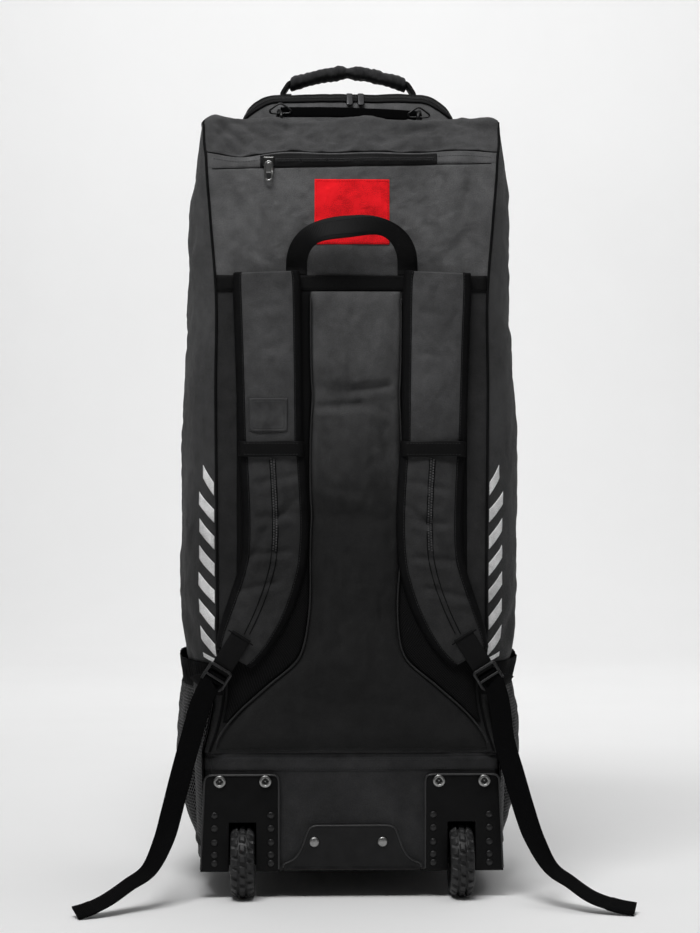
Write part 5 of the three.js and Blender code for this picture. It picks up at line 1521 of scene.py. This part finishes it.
for name, side in SIDES:
    upper_strap = strap_parts(STRAP_UPPER, side, 150, STRAP_THICK, (0.45, 0.9))
    lower_strap = strap_parts(STRAP_LOWER, side, 190, STRAP_THICK * 0.85, (0.9, 0.35))
    for part, node, parts in (("upper", f"shoulder_strap_{name}", upper_strap),
                              ("lower", f"strap_lower_{name}", lower_strap)):
        fold = strap_fold(side, part)
        strap = finish_piece(tube_mesh(f"strap_{part}_{name}", pad_rings(*parts, fold)), STRAP_GREY,
                             node=node)
        for edge_name, edge in (("outer", 1), ("inner", -1)):
            tape = binding_sheet(f"strap_binding_{part}_{edge_name}_{name}", parts, fold, edge)
            finish_piece(tape, BINDING, wall=0.7 * MM)
            line = pad_front(*parts, fold, np.array([edge * (BINDING_FROM + 0.035)]), 1.1 * MM)[3:-3, 0]
            stitch_row(f"strap_stitches_{part}_{edge_name}_{name}", line, (0, -1, 0), THREAD,
                       pitch=3.4 * MM)
    middle_line = pad_front(*lower_strap, strap_fold(side, "lower"), np.array([0.0]), 0.5 * MM)[:, 0]
    coil_part = middle_line[(middle_line[:, 2] < STRAP_JOIN - 10 * MM) & (middle_line[:, 2] > 0.412)]
    zip_coil(f"strap_coil_{name}", coil_part, (0, -1, 0), STRAP_COIL, pitch=3.2 * MM, wide=2.2 * MM,
             thick=0.4, apart=0.75)
    for number, shift in (("one", -3.2 * MM), ("two", 3.2 * MM)):
        line = cord_mesh(f"strap_seam_{number}_{name}", (middle_line + (shift, 0.3 * MM, 0))[4:-42],
                         0.6 * MM, 8)
        finish_piece(line, BINDING)

# %% Cross webs and the plain rubber patch on the straps
def over_strap(x, z, part, lift):
    """Depth of a strap's front at x and z, found from its middle line's nearest ring."""
    middle, across, half, base, thick = part
    ring = np.argmin(np.abs(np.asarray(z)[..., None] - middle[:, 1]), axis=-1)
    c = np.clip((x - middle[ring, 0]) / (half[ring] * across[ring, 0]), -1, 1)
    return -(base + thick[ring] * crown(c) + lift)


CROSS_HALF = 0.23 * BACK_HALF + 1 * MM
for name, side in SIDES:
    part = strap_parts(STRAP_UPPER, side, 150, STRAP_THICK, (0.45, 1.0))
    turn = level(70, -1.25, 1.25)
    c = np.clip(turn, -1, 1)
    x = side * 0.5885 * BACK_HALF + np.sin(c * np.pi / 2) * CROSS_HALF
    height = np.sqrt(np.clip(1 - np.abs(np.sin(c * np.pi / 2)) ** 7, 0, 1)) * (STRAP_THICK + 1.2 * MM)
    path = as_array(x, -(STRAP_BASE + height) + np.maximum(0, np.abs(turn) - 1) * 2 * MM,
                    STRAP_JOIN + 0.6 * MM * np.sin(c * 5))
    web(f"cross_web_{name}", f"strap_cross_web_{name}", evened(path, 90), (0, 0, 1), width=18 * MM,
        thick=1.5 * MM)
    rows = [as_array(side * 0.5885 * BACK_HALF + level(40, -0.85, 0.85) * CROSS_HALF,
                     -(STRAP_BASE + STRAP_THICK + 2.1 * MM), STRAP_JOIN + dz)
            for dz in (-6.5 * MM, 6.5 * MM)]
    stitch_row(f"cross_web_stitches_{name}", rows, (0, -1, 0), THREAD)

PATCH_MIDDLE, RUBBER_HALF = (-0.0993, 0.5738), (0.0228, 0.0198)


def rubber_points(u, v):
    """A rounded square with a raised rim, laid on the left strap."""
    x, z = PATCH_MIDDLE[0] + u * RUBBER_HALF[0], PATCH_MIDDLE[1] + v * RUBBER_HALF[1]
    reach = (np.abs(u) ** 12 + np.abs(v) ** 12) ** (1 / 12)
    rim = 0.5 * hump(reach - 0.93, 0.04) - 0.9 * ramp(reach - 0.96, 0.04) ** 2
    frame_line = 0.3 * hump(reach - 0.78, 0.03)
    under = over_strap(x, z, strap_parts(STRAP_UPPER, -1, 150, STRAP_THICK, (0.45, 1.0)), 1.7 * MM)
    return as_array(x, under - (rim + frame_line) * MM, z)


rubber = sheet_mesh("strap_rubber_patch", rubber_points(*spread(60, 54, low=-1)), out=(0, -1, 0))
finish_piece(rubber, RUBBER, node="strap_patch", wall=1.2 * MM)

# %% [markdown]
# ## Buckles and their webbing
# Each strap ends in a short web that wraps the buckle's top bar. The long web comes out of the
# side seam, passes up behind the buckle, over its middle bar and hangs down as the tail. The
# tail's tip is folded over and sewn, so it is twice as thick.

# %% Ladder locks with the short web and the anchor web
LOCK_TURN = 0.56
LOCK_X, LOCK_Z = 161 * MM, 265 * MM
END_WEB = np.array([(-58, -21.3), (-44, -21.6), (-30, -21.6), (-20, -21.0), (-13.5, -20.0),
                    (-9.6, -19.3), (-7.4, -17.6),
                    (-6.8, -15.4), (-8.2, -13.2), (-13, -12.3), (-24, -12.0)]) * MM
TAIL_START = (np.array([(4.5, -12.6), (6.2, -14.6), (6.2, -17.2), (4.2, -19.2), (0, -19.6),
                        (-4.0, -19.2), (-6.2, -17.2)]) * MM)
ANCHOR = (np.array([(164.2, -12.6, 259.8), (169.5, -8.0, 257.0), (175.5, -0.5, 254.2), (0, 12, 252.0),
                    (0, 30, 249.5), (0, 46, 248.0), (0, 58, 247.0)]) * MM)
# Rows of the tail: x in half widths of the back, distance out in widths of webbing, height in
# heights of the body, how the width slants in radians, and how far it leans into the depth.
TAIL = [(1.02, 0.79, 0.281, 0.5, 0), (1.1, 0.88, 0.249, 0.42, 0), (1.17, 1.0, 0.204, 0.3, 0),
        (1.235, 1.24, 0.16, 0.28, 0),
        (1.3, 1.48, 0.116, 0.28, 0), (1.36, 1.8, 0.083, 0.35, 0.35), (1.46, 2.4, 0.05, 0.5, 0.8),
        (1.6, 3.0, 0.034, 0.85, 1.05),
        (1.74, 3.66, 0.019, 0.9, 1.05), (1.86, 4.08, 0.0105, 0.9, 1.05), (1.95, 4.3, 0.0068, 0.9, 1.05)]
TAIL_INWARD = {"right": np.array([0, 6, 12, 10.5, 9, 8.5, 9, 11, 11, 4, -3]) * MM, "left": np.zeros(11)}


def lock_point(along, depth, side):
    """A point on the buckle's line: along it downwards, and at a depth."""
    return as_array(side * (LOCK_X + along * np.sin(LOCK_TURN)), depth,
                    LOCK_Z - along * np.cos(LOCK_TURN))


for name, side in SIDES:
    from_node(f"buckle_{name}", f"ladder_lock_{name}", LOCK, 0.9 * MM)
    lock_across = np.array([side * np.cos(LOCK_TURN), 0, np.sin(LOCK_TURN)])
    rail = np.array([(9.5, -1), (4, -1), (-4, -1), (-10.5, -1), (-12.4, -0.86), (-12.6, -0.5),
                     (-12.6, 0.5), (-12.4, 0.86), (-10.5, 1), (-4, 1), (4, 1), (9.5, 1)])
    rise = -19.6 * MM - 3.4 * MM * ramp(3 - rail[:, 0], 12)
    frame_path = lock_point(rail[:, 0] * MM, rise, side) + lock_across * rail[:, 1:] * 13.6 * MM
    finish_piece(cord_mesh(f"buckle_frame_{name}", curve(frame_path, 90), 1.8 * MM, 14), LOCK)
    bar = (lock_point(np.full(12, 1.0 * MM), -21.4 * MM, side) + lock_across
           * level(12, -12.8, 12.8)[:, None] * MM)
    finish_piece(cord_mesh(f"buckle_bar_{name}", bar, 1.5 * MM), LOCK)
    path = curve(END_WEB, 70)
    web(f"end_web_{name}", f"strap_end_web_{name}", lock_point(path[:, 0], path[:, 1], side),
        lock_across)
    sewn = (lock_point(np.full(12, -55 * MM), -22.4 * MM, side) + lock_across
            * level(12, -17, 17)[:, None] * MM)
    finish_piece(cord_mesh(f"end_web_seam_{name}", sewn, 0.8 * MM, 8), BINDING)
    rows = curve(ANCHOR, 60)
    on_side = ramp(rows[:, 1] - 2 * MM, 0.012)
    beside = np.abs(side_x(np.maximum(rows[:, 1], 0), rows[:, 2], side)) + 2.2 * MM
    straight = np.where(rows[:, 0] > 0.12, rows[:, 0], beside)
    rows[:, 0] = side * (straight * (1 - on_side) + beside * on_side)
    share = level(60, 0, 1)[:, None]
    web(f"anchor_web_{name}", f"anchor_web_{name}", evened(rows, 60),
        lock_across * (1 - share) + np.array([0, 0, 1.0]) * share,
        facing=(side, -0.5, 0))


# %% Tails
for name, side in SIDES:
    start = curve(TAIL_START, 24)
    first = lock_point(start[:, 0], start[:, 1], side)
    down = curve([(x * BACK_HALF - inward, -out * WEBBING, h * BODY_TOP, slant, lie)
                  for (x, out, h, slant, lie), inward in zip(TAIL, TAIL_INWARD[name])], 150)
    wobble = 1.2 * MM * np.sin(level(150, 0, 1) * 9 + side)
    down[:, 0] += wobble * np.sin(level(150, 0, np.pi))
    hanging = down[:, :3] * (side, 1, 1)
    slant = np.concatenate([np.full(4, LOCK_TURN), down[:, 3]])
    bridge = lock_point(np.array([4.2, 0, -3.0, -5.8]) * MM, np.array([-19.4, -19.5, -19.3, -17.0]) * MM,
                        side)[::-1]
    path = np.concatenate([bridge, hanging])
    lie = np.concatenate([np.zeros(4), down[:, 4]])
    folded = ramp(level(154, 0, 1) - 0.87, 0.008)
    across = np.stack([side * np.cos(slant) * np.cos(lie), np.sin(lie), np.sin(slant) * np.cos(lie)], -1)
    web(f"tail_{name}", f"strap_tail_{name}", path, across, thick=(1.5 + 1.9 * folded) * MM,
        material=TAIL_WEB)
    tip = path[138:152]
    box = [tip + across[138:152] * (WEBBING * k) + (0, -1.2 * MM, 1.9 * MM) for k in (-0.34, 0.34)]
    stitch_row(f"tail_stitches_{name}", box, (0, -1, 0.3), BINDING, pitch=3.2 * MM)

# %% [markdown]
# ## Handles
# The haul handle is one web in an arch, sewn at both feet and twisted a little by hand. The grab
# handle is a padded sleeve round a web. The low strap on the shoulder hangs between wire loops.

# %% Rear haul handle
LOOP_HALF, LOOP_RISE, LOOP_STAND, LOOP_FOOT = 66 * MM, 43 * MM, 30 * MM, 12 * MM
angle = level(61, 0, np.pi)
arch = as_array(-LOOP_HALF * np.sign(np.cos(angle)) * np.abs(np.cos(angle)) ** 0.62,
                -(2.0 * MM + LOOP_STAND * np.sin(angle)),
                BAND_HIGH + 0.4 * MM + LOOP_FOOT + LOOP_RISE * np.sin(angle))
foot = [as_array(side * LOOP_HALF, -1.4 * MM, BAND_HIGH + level(5, 0.4, 9) * MM) for side in (-1, 1)]
loop_path = evened(np.concatenate([foot[0], arch[2:-2], foot[1][::-1]]), 150)
lobe = np.sin(level(150, 0, np.pi))
loop_path[:, 2] += 2.5 * MM * np.sin(loop_path[:, 0] / LOOP_HALF * 2.6) * lobe**2
along = np.gradient(loop_path, axis=0)
loop_across = unit(np.stack([along[:, 2], 0 * along[:, 0], -along[:, 0]], -1))
twist = 0.32 * np.sin(level(150, 0, 2 * np.pi)) * lobe + 0.25 * lobe**2
loop_across = loop_across + np.array([0, 1.0, 0]) * (twist * np.sign(loop_across[:, 2] + 1e-9))[:, None]
spread = (1 + 0.16 * hump(loop_path[:, 0] + 20 * MM, 26 * MM) - 0.2
          * hump(loop_path[:, 0] - 40 * MM, 22 * MM))
web("haul_handle_web", "haul_handle", loop_path, loop_across, width=WEBBING * spread, thick=2.0 * MM)
handle_rows = [loop_path + unit(loop_across) * k * WEBBING - (0, 1.3 * MM, 0) for k in (-0.36, 0.36)]
stitch_row("haul_handle_stitches", [row[4:-4] for row in handle_rows], (0, -1, 0.1), BINDING)

# %% Top grab handle: sleeve and legs
GRIP_HALF, GRIP_DEEP, GRIP_TALL = 73 * MM, 30 * MM, 16 * MM
GRIP_Y = 150 * MM
GRIP_END_Z, GRIP_ARCH = 992 * MM, 16 * MM
HANDLE_FOOT_Z = 976.1 * MM


def grip_rings(count, sides):
    """A flattened tube along a shallow arch, pinched in the middle where the hand has folded it."""
    t = level(count, -1, 1)[:, None]
    angle = np.linspace(0, 2 * np.pi, sides, endpoint=False)[None]
    a = np.sign(np.cos(angle)) * np.abs(np.cos(angle)) ** 0.75
    b = np.sign(np.sin(angle)) * np.abs(np.sin(angle)) ** 0.8
    pinch = 1 - 0.3 * hump(t, 0.07) + 0.1 * hump(np.abs(t) - 0.17, 0.06)
    flare = 1 + 0.06 * np.abs(t) ** 6
    dents = (1 + (0.07 * rumple(t * GRIP_HALF, angle * 8 * MM + 0 * t, 101, 0.02) + 0.03
                  * np.sin(t * 60)) * np.clip((1 - np.abs(t)) * 12, 0, 1))
    deep = GRIP_DEEP / 2 * pinch**0.5 * dents
    tall = GRIP_TALL / 2 * pinch * flare * dents
    close = np.sqrt(np.clip(1 - ((np.abs(t) - 0.965) / 0.037).clip(0, 1) ** 2, 0.3, 1))
    x = t * GRIP_HALF + 0 * a
    z = GRIP_END_Z + GRIP_ARCH * (1 - np.abs(t) ** 1.5) - 1.2 * MM * hump(t, 0.1)
    return as_array(x, GRIP_Y + a * deep * close, z + b * tall * close)


sleeve = grip_rings(120, 40)
grip = finish_piece(tube_mesh("grip_sleeve", sleeve), GRIP, node="top_handle_grip")
for end in (-1, 1):
    ring = sleeve[4 if end < 0 else -5]
    stitch_row(f"grip_stitches_{'left' if end < 0 else 'right'}", np.concatenate([ring, ring[:1]]),
               lambda p: p - np.array([0, GRIP_Y, GRIP_END_Z + 1 * MM]) * (0, 1, 1) - p * (1, 0, 0),
               THREAD, pitch=2.8 * MM)
LEG = (np.array([(71, 976.3), (76, 976.3), (80, 976.4), (82.2, 977.4), (82.2, 979.6), (80.5, 983),
                 (77.6, 987.5), (74.6, 991.8), (71.5, 993.4)]) * MM)
for name, side in SIDES:
    leg = curve(LEG, 50)
    web(f"handle_leg_{name}", f"top_handle_leg_{name}", as_array(side * leg[:, 0], GRIP_Y, leg[:, 1]),
        (0, 1, 0), thick=5.6 * MM,
        facing=(side, 0, 0.5))
    foot_box = [as_array(side * level(12, 60, 79) * MM, GRIP_Y + k * WEBBING, HANDLE_FOOT_Z + 1.5 * MM)
                for k in (-0.36, 0.36)]
    sewn = as_array(side * level(8, 50, 77) * MM, GRIP_Y, HANDLE_FOOT_Z)
    web(f"handle_foot_{name}", None, sewn, (0, 1, 0), facing=(0, 0, 1))
    stitch_row(f"handle_foot_stitches_{name}", foot_box, (0, 0, 1), THREAD)

# %% Low strap on the shoulder and its wire loops
RING_X, RING_DEPTH, RING_R = 86 * MM, 91 * MM, 9 * MM
RING_Z = BODY_TOP + 11.2 * MM
t = level(60, -1, 1)
strap_line = as_array(t * 84.5 * MM, RING_DEPTH + 0.6 * MM * np.sin(t * 7),
                      RING_Z + 5 * MM - 2 * MM * t + 2 * MM * (1 - t * t))
# This strap's webbing is darker than the rest: painted shade where it faces the top light.
web("shoulder_haul_web", "top_haul_strap", strap_line, (0, 4, 6.4), width=15.6 * MM, thick=2.2 * MM,
    facing=(0, -0.64, 0.77), material=WEB_PAINTED_SHADE)
for name, side in SIDES:
    turn = np.linspace(0, 2 * np.pi, 61)
    reach = RING_R * (1 - 0.14 * np.cos(3 * turn))
    loop = as_array(side * (RING_X + 2.2 * MM * np.cos(turn)), RING_DEPTH + reach * np.cos(turn),
                    RING_Z + reach * np.sin(turn))
    finish_piece(cord_mesh(f"wire_loop_{name}", loop, 2.1 * MM), WIRE, node=f"wire_ring_{name}")
    corner = (np.array([(-13, -1.5), (-12, -4.5), (-8, -5.5), (8, -5.5), (12, -4.5), (12.5, -1.5),
                        (4, 5), (0, 6.6), (-4, 5), (-13, -1.5)]) * MM)
    triangle = as_array(side * (RING_X - 1 * MM) + corner[:, 0], RING_DEPTH - 4 * MM,
                        RING_Z + 8.5 * MM - side * 2 * MM + corner[:, 1])
    finish_piece(cord_mesh(f"wire_triangle_{name}", curve(triangle, 60), 1.3 * MM, 8), WIRE)
    tab = as_array(side * (RING_X + level(14, -1, 1) * 9 * MM), RING_DEPTH + 10 * MM,
                   BODY_TOP + 1.6 * MM + 1.2 * MM * np.cos(level(14, -1, 1) * 2))
    web(f"loop_tab_{name}", None, tab, (0, 1, 0), width=16 * MM, facing=(0, 0, 1))

# %% [markdown]
# ## Net pockets
# A net pocket is mostly holes. Its surface is tiled with hexagons, and the Wireframe modifier
# turns every edge into a thread. Above it an elastic band gathers the mouth.

# %% Net, hems and elastic
POCKET_BASE, POCKET_TOP, POCKET_BACK, POCKET_FRONT = 63 * MM, 247 * MM, 64 * MM, 268 * MM
POCKET_V = [0, 0.08, 0.25, 0.5, 0.75, 0.92, 1]
POCKET_FULL = [0.02, 0.4, 0.8, 1, 0.85, 0.55, 0.35]
NET_PITCH = 4.3 * MM
NET_START = 12 * MM


def pocket_surface(depth, z, side, lift=0.0):
    """The pocket's swell over the side, given by depth and height."""
    u = ramp(depth - POCKET_BACK, POCKET_FRONT - POCKET_BACK)
    v = ramp(z - POCKET_BASE, POCKET_TOP - POCKET_BASE)
    swell = 22 * MM * smooth(POCKET_V, POCKET_FULL, v) * (1 - np.abs(2 * u - 1) ** 3)
    above = ramp(z - POCKET_TOP, 0.004)
    swell = swell * (1 - above) + 8 * MM * (1 - np.abs(2 * u - 1) ** 3) * above
    kept = np.sin(np.pi * u) ** 0.5 * np.clip(v * 6, 0, 1) * (1 - above)
    sag = rumple(depth, z, 110 + side, 0.05) * 1.4 * MM * kept
    relief = side_relief(np.maximum(depth, 0), np.maximum(z, BOOT_TOP), side) * 0.8
    return as_array(side * (body_half(z, depth) + 1.8 * MM + swell + sag + relief + lift), depth, z)


def hexagons(width, height, pitch):
    """Points and faces of a hexagon tiling over a rectangle, as brick rows sheared apart."""
    columns, rows = int(width / pitch), int(height / (pitch * 0.866))
    grid_c, grid_r = np.meshgrid(np.arange(columns), np.arange(rows))
    centre = np.stack([(grid_c + 0.5 * (grid_r % 2)) * pitch, grid_r * pitch * 0.866], -1).reshape(-1, 2)
    angle = np.pi / 6 + np.arange(6) * np.pi / 3
    corner = centre[:, None] + pitch / np.sqrt(3) * np.stack([np.cos(angle), np.sin(angle)], -1)
    flat = corner.reshape(-1, 2)
    _, first, number = np.unique(np.round(flat / (pitch * 0.05)).astype(int), axis=0, return_index=True,
                                 return_inverse=True)
    return flat[first] * (width / flat[:, 0].max(), height / flat[:, 1].max()), number.reshape(-1, 6)


for name, side in SIDES:
    flat, cells = hexagons(POCKET_FRONT - NET_START, POCKET_TOP - POCKET_BASE, NET_PITCH)
    points = pocket_surface(NET_START + np.clip(flat[:, 0], 0, None),
                            POCKET_BASE + np.clip(flat[:, 1], 0, None), side)
    # Painted shade: a black sheet 1.6 mm behind the net, where the inside of the pocket is in shade.
    backing_shade = pocket_surface(*np.meshgrid(level(90, NET_START, POCKET_FRONT),
                                         level(80, POCKET_BASE, POCKET_TOP)), side, -1.6 * MM)
    finish_piece(sheet_mesh(f"net_backing_shade_{name}", backing_shade, out=(side, 0, 0)), NET_SHADE_AND_ELASTIC,
                 wall=0.5 * MM)
    net = build(f"net_{name}", points, cells if side > 0 else cells[:, ::-1])
    m = net.modifiers.new("threads", "WIREFRAME")
    m.thickness, m.use_even_offset, m.use_boundary = 1.0 * MM, False, True
    finish_piece(net, NET, node=f"mesh_pocket_{name}")
    depth, z = np.meshgrid(level(110, NET_START, POCKET_FRONT + 2 * MM),
                           level(14, POCKET_TOP - 1 * MM, POCKET_TOP + 32 * MM))
    gather = 0.5 * MM * np.sin(depth * 900) * np.sin((z - POCKET_TOP) / 0.032 * np.pi)
    band = sheet_mesh(f"pocket_band_{name}", pocket_surface(depth, z, side, gather + 0.4 * MM),
                      out=(side, 0, 0))
    finish_piece(band, NET_SHADE_AND_ELASTIC, node=f"pocket_elastic_{name}", wall=1.4 * MM)
    hem = np.concatenate([
        pocket_surface(np.full(60, NET_START), level(60, POCKET_TOP + 4 * MM, POCKET_BASE), side,
                       0.6 * MM),
        pocket_surface(level(60, NET_START, POCKET_FRONT)[1:-1], np.full(58, POCKET_BASE), side,
                       0.6 * MM),
        pocket_surface(np.full(60, POCKET_FRONT), level(60, POCKET_BASE, POCKET_TOP + 4 * MM), side,
                       0.6 * MM),
    ])
    centre = np.array([0, (POCKET_BACK + POCKET_FRONT) / 2, (POCKET_BASE + POCKET_TOP) / 2])
    inward = (centre - hem) * (0, 1, 1)
    shares = level(len(hem), 0, 1)
    across = np.stack([np.interp(level(180, 0, 1), shares, part) for part in inward.T], -1)
    web(f"pocket_hem_{name}", None, evened(hem, 180), across, width=9 * MM, thick=1.2 * MM,
        facing=(side, 0, 0), material=BINDING)

# %% [markdown]
# ## Running gear
# The wheel housings, the kick plate and the skid are moulded plastic. The tyres carry blocks of
# tread, made by raising parts of a turned profile. The screws are turned too, with a cross cut
# into the head by lowering the points inside it.

# %% Housings with their moulded dimples
PLATE_FACE = -5.4 * MM
DIMPLE_X = (96.5 * MM, 163 * MM)
DIMPLE_Z = np.array([99.8, 84.3, 67.7, 53.0, 43.0]) * MM


def round_stud(sides=16):
    """A low dome: rings of a circle that shrink as they rise."""
    angle = np.linspace(0, 2 * np.pi, sides, endpoint=False)
    rings = [(1, 0), (0.95, 0.6), (0.7, 0.9), (0.02, 1)]
    points = np.concatenate([np.stack([r * np.cos(angle), -h + 0 * angle, r * np.sin(angle)], -1) for r,
                             h in rings])
    faces = [[k * sides + i, k * sides + (i + 1) % sides, (k + 1) * sides + (i + 1) % sides,
              (k + 1) * sides + i]
             for k in range(3) for i in range(sides)]
    return points, faces


STUD, STUD_FACES = round_stud()
for name, side in SIDES:
    from_node(f"housing_{name}", f"wheel_housing_{name}", PLASTIC, 1.0 * MM)
    x, z = np.meshgrid(np.array(DIMPLE_X) * side, DIMPLE_Z)
    spots = np.stack([x.ravel(), np.full(x.size, PLATE_FACE), z.ravel()], -1)
    studs = scatter(f"housing_studs_{name}", STUD * (4.2 * MM, 1.6 * MM, 3.9 * MM), STUD_FACES, spots,
                    np.broadcast_to(np.eye(3), (len(spots), 3, 3)))
    # The studs take the lighter plastic: painted highlight.
    finish_piece(studs, STUD_HIGHLIGHT_PLASTIC)
    corners = (np.array([(87, 36), (87, 141), (87.8, 146), (92.5, 147.4), (168, 147.4), (173.8, 146.2),
                         (174.8, 141), (179.2, 36)]) * MM)
    # The bead round the housing takes the lighter plastic: painted highlight along its edge.
    rim_path = as_array(side * corners[:, 0], PLATE_FACE - 0.1 * MM, corners[:, 1])
    finish_piece(cord_mesh(f"housing_rim_{name}", evened(rim_path, 160), 1.2 * MM, 10), RIM_HIGHLIGHT_PLASTIC)


# %% Screws with a cross recess, and the kick plate with its rivets
SCREW_R, SCREW_TALL = 7.5 * MM, 3.0 * MM


def screw_points(centre_x, centre_z, face):
    """A pan head: rings of a circle, domed, with a cross lowered into it."""
    ring, angle = np.meshgrid(np.concatenate([[0.001], level(26, 0.04, 1), [1.0, 1.0]]),
                              level(97, 0, 2 * np.pi), indexing="ij")
    x, z = ring * np.cos(angle), ring * np.sin(angle)
    dome = np.sqrt(np.clip(1 - (ring * 0.93) ** 4, 0, 1))
    cross = np.maximum(np.clip(1 - (np.abs(x) / 0.16) ** 4, 0, 1) * (np.abs(z) < 0.5),
                       np.clip(1 - (np.abs(z) / 0.16) ** 4, 0, 1) * (np.abs(x) < 0.5))
    height = (dome * SCREW_TALL - cross * 1.9 * MM * ramp(0.58 - ring, 0.1) - 0.7 * MM
              * ramp(0.62 - ring, 0.08))
    height[-2], height[-1] = 0.35 * SCREW_TALL, 0
    return as_array(centre_x + x * SCREW_R, face - height, centre_z + z * SCREW_R)


for node in ("screw_inner_left", "screw_outer_left", "screw_inner_right", "screw_outer_right"):
    low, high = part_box(node)
    grid = screw_points((low.x + high.x) / 2, (low.z + high.z) / 2, high.y - BACK_Y)
    head = closed(sheet_mesh(f"{node}_head", grid, out=(0, -1, 0)))
    finish_piece(head, STEEL, node=node)
    # Painted shade: a dark ring round the cross and a dark outer edge on the head.
    head.data.materials.append(SCREW_PAINTED_SHADE)
    for face in head.data.polygons:
        away = (np.hypot(face.center.x - (low.x + high.x) / 2, face.center.z - (low.z + high.z) / 2)
                / SCREW_R)
        face.material_index = int(0.12 < away < 0.5 or away > 0.92)

KICK_LOW, KICK_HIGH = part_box("kick_plate")
KICK_SIDE = np.array([(82, 0), (81.5, 0.14), (75.5, 0.19), (67.5, 0.28), (61.5, 0.44), (57, 0.64),
                      (53.5, 0.83), (50, 0.955), (43, 1.0)])
kick_rows = curve(KICK_SIDE, 60)
side_xs, side_zs = kick_rows[:, 0] * MM, KICK_LOW.z + kick_rows[:, 1] * (KICK_HIGH.z - KICK_LOW.z)
kick_u, kick_row = np.meshgrid(level(90, -1, 1), np.arange(60))
edge_far = np.minimum((1 - np.abs(kick_u)) * side_xs[kick_row],
                      np.minimum(KICK_HIGH.z - side_zs[kick_row], side_zs[kick_row] - KICK_LOW.z))
rim = 0.9 * hump(edge_far - 1.5 * MM, 1.8 * MM) * MM
kick = sheet_mesh("kick_plate_moulded",
                  as_array(kick_u * side_xs[kick_row], KICK_LOW.y - BACK_Y + 0.9 * MM - rim,
                           side_zs[kick_row]), out=(0, -1, 0))
finish_piece(kick, KICK, node="kick_plate", wall=3.0 * MM)
kick_edge = as_array(side_xs, KICK_LOW.y - BACK_Y + 0.2 * MM, side_zs)[3:]
kick_edge = np.concatenate([kick_edge, kick_edge[::-1] * (-1, 1, 1)])
# The kick plate's rim takes the lighter plastic: painted highlight along its edge.
finish_piece(cord_mesh("kick_plate_rim", evened(kick_edge, 220), 1.0 * MM, 8), RIM_HIGHLIGHT_PLASTIC)
rivets = np.array([(-45 * MM, KICK_LOW.y - BACK_Y + 0.7 * MM, 67.5 * MM),
                   (36.3 * MM, KICK_LOW.y - BACK_Y + 0.7 * MM, 67.5 * MM)])
finish_piece(scatter("kick_rivets", STUD * (6.0 * MM, 2.0 * MM, 6.0 * MM), STUD_FACES, rivets,
                     np.broadcast_to(np.eye(3), (2, 3, 3))), STEEL)

# %% Tyres with block tread, hubs and the skid
WHEEL_R, TYRE_HALF = 43 * MM, 14.5 * MM
TREAD_ROW = 2 * TYRE_HALF / 3
AXLE_DEPTH = 8 * MM
HALF_TYRE = [(27.4, 11.6), (30, 13.4), (33, 14.2), (36, 13.8), (38.2, 12.0), (39.8, 9.2), (40.9, 6.2),
             (41.4, 3.2)]
TYRE_SECTION = np.array([(r, -x) for r, x in HALF_TYRE] + [(41.6, 0)] + HALF_TYRE[::-1]) * MM
TREAD = 1.4 * MM
GROOVE = 2.2 * MM
BLOCKS = 20


def tyre_points(side):
    """A section turned round the axle; blocks rise where two staggered waves allow."""
    section = curve(TYRE_SECTION, 57)
    angle = level(385, 0, 2 * np.pi)[:, None]
    radius, x = section[:, 0][None] + 0 * angle, section[:, 1][None] + 0 * angle
    row = np.floor((x + TYRE_HALF) / TREAD_ROW).clip(0, 2)
    wave = np.sin(BLOCKS * angle + row * np.pi + 0.12 * x / MM)
    gap = np.abs((x + TYRE_HALF) % TREAD_ROW - TREAD_ROW / 2) < 3.6 * MM
    block = np.clip(wave * 5 + 2.2, 0, 1) * np.clip(gap + (np.abs(x) > 11 * MM), 0, 1)
    outer = ramp(radius - 37 * MM, 3 * MM)
    radius = radius + TREAD * block * outer - GROOVE * (1 - block) * outer * (radius > 38 * MM)
    x = x + np.sign(x) * 0.5 * MM * block * ramp(np.abs(x) - 10 * MM, 3 * MM) * outer
    x = np.clip(x, -TYRE_HALF, TYRE_HALF)
    return as_array(side * WHEEL_X + x, AXLE_DEPTH + radius * np.sin(angle),
                    WHEEL_R + radius * np.cos(angle))


for name, side in SIDES:
    tyre_grid = ringed(tyre_points(side))
    off_axle = tyre_grid[:-1, :-1].reshape(-1, 3) - (side * WHEEL_X, AXLE_DEPTH, WHEEL_R)
    tyre = closed(sheet_mesh(f"tyre_tread_{name}", tyre_grid, out=off_axle))
    finish_piece(tyre, TYRE, body=f"wheel_{name}", node=f"tyre_{name}")
    from_node(f"hub_{name}", f"wheel_hub_{name}", PLASTIC, 0.8 * MM, body=f"wheel_{name}")
from_node("skid_bar", "front_skid", PLASTIC, 2.0 * MM)
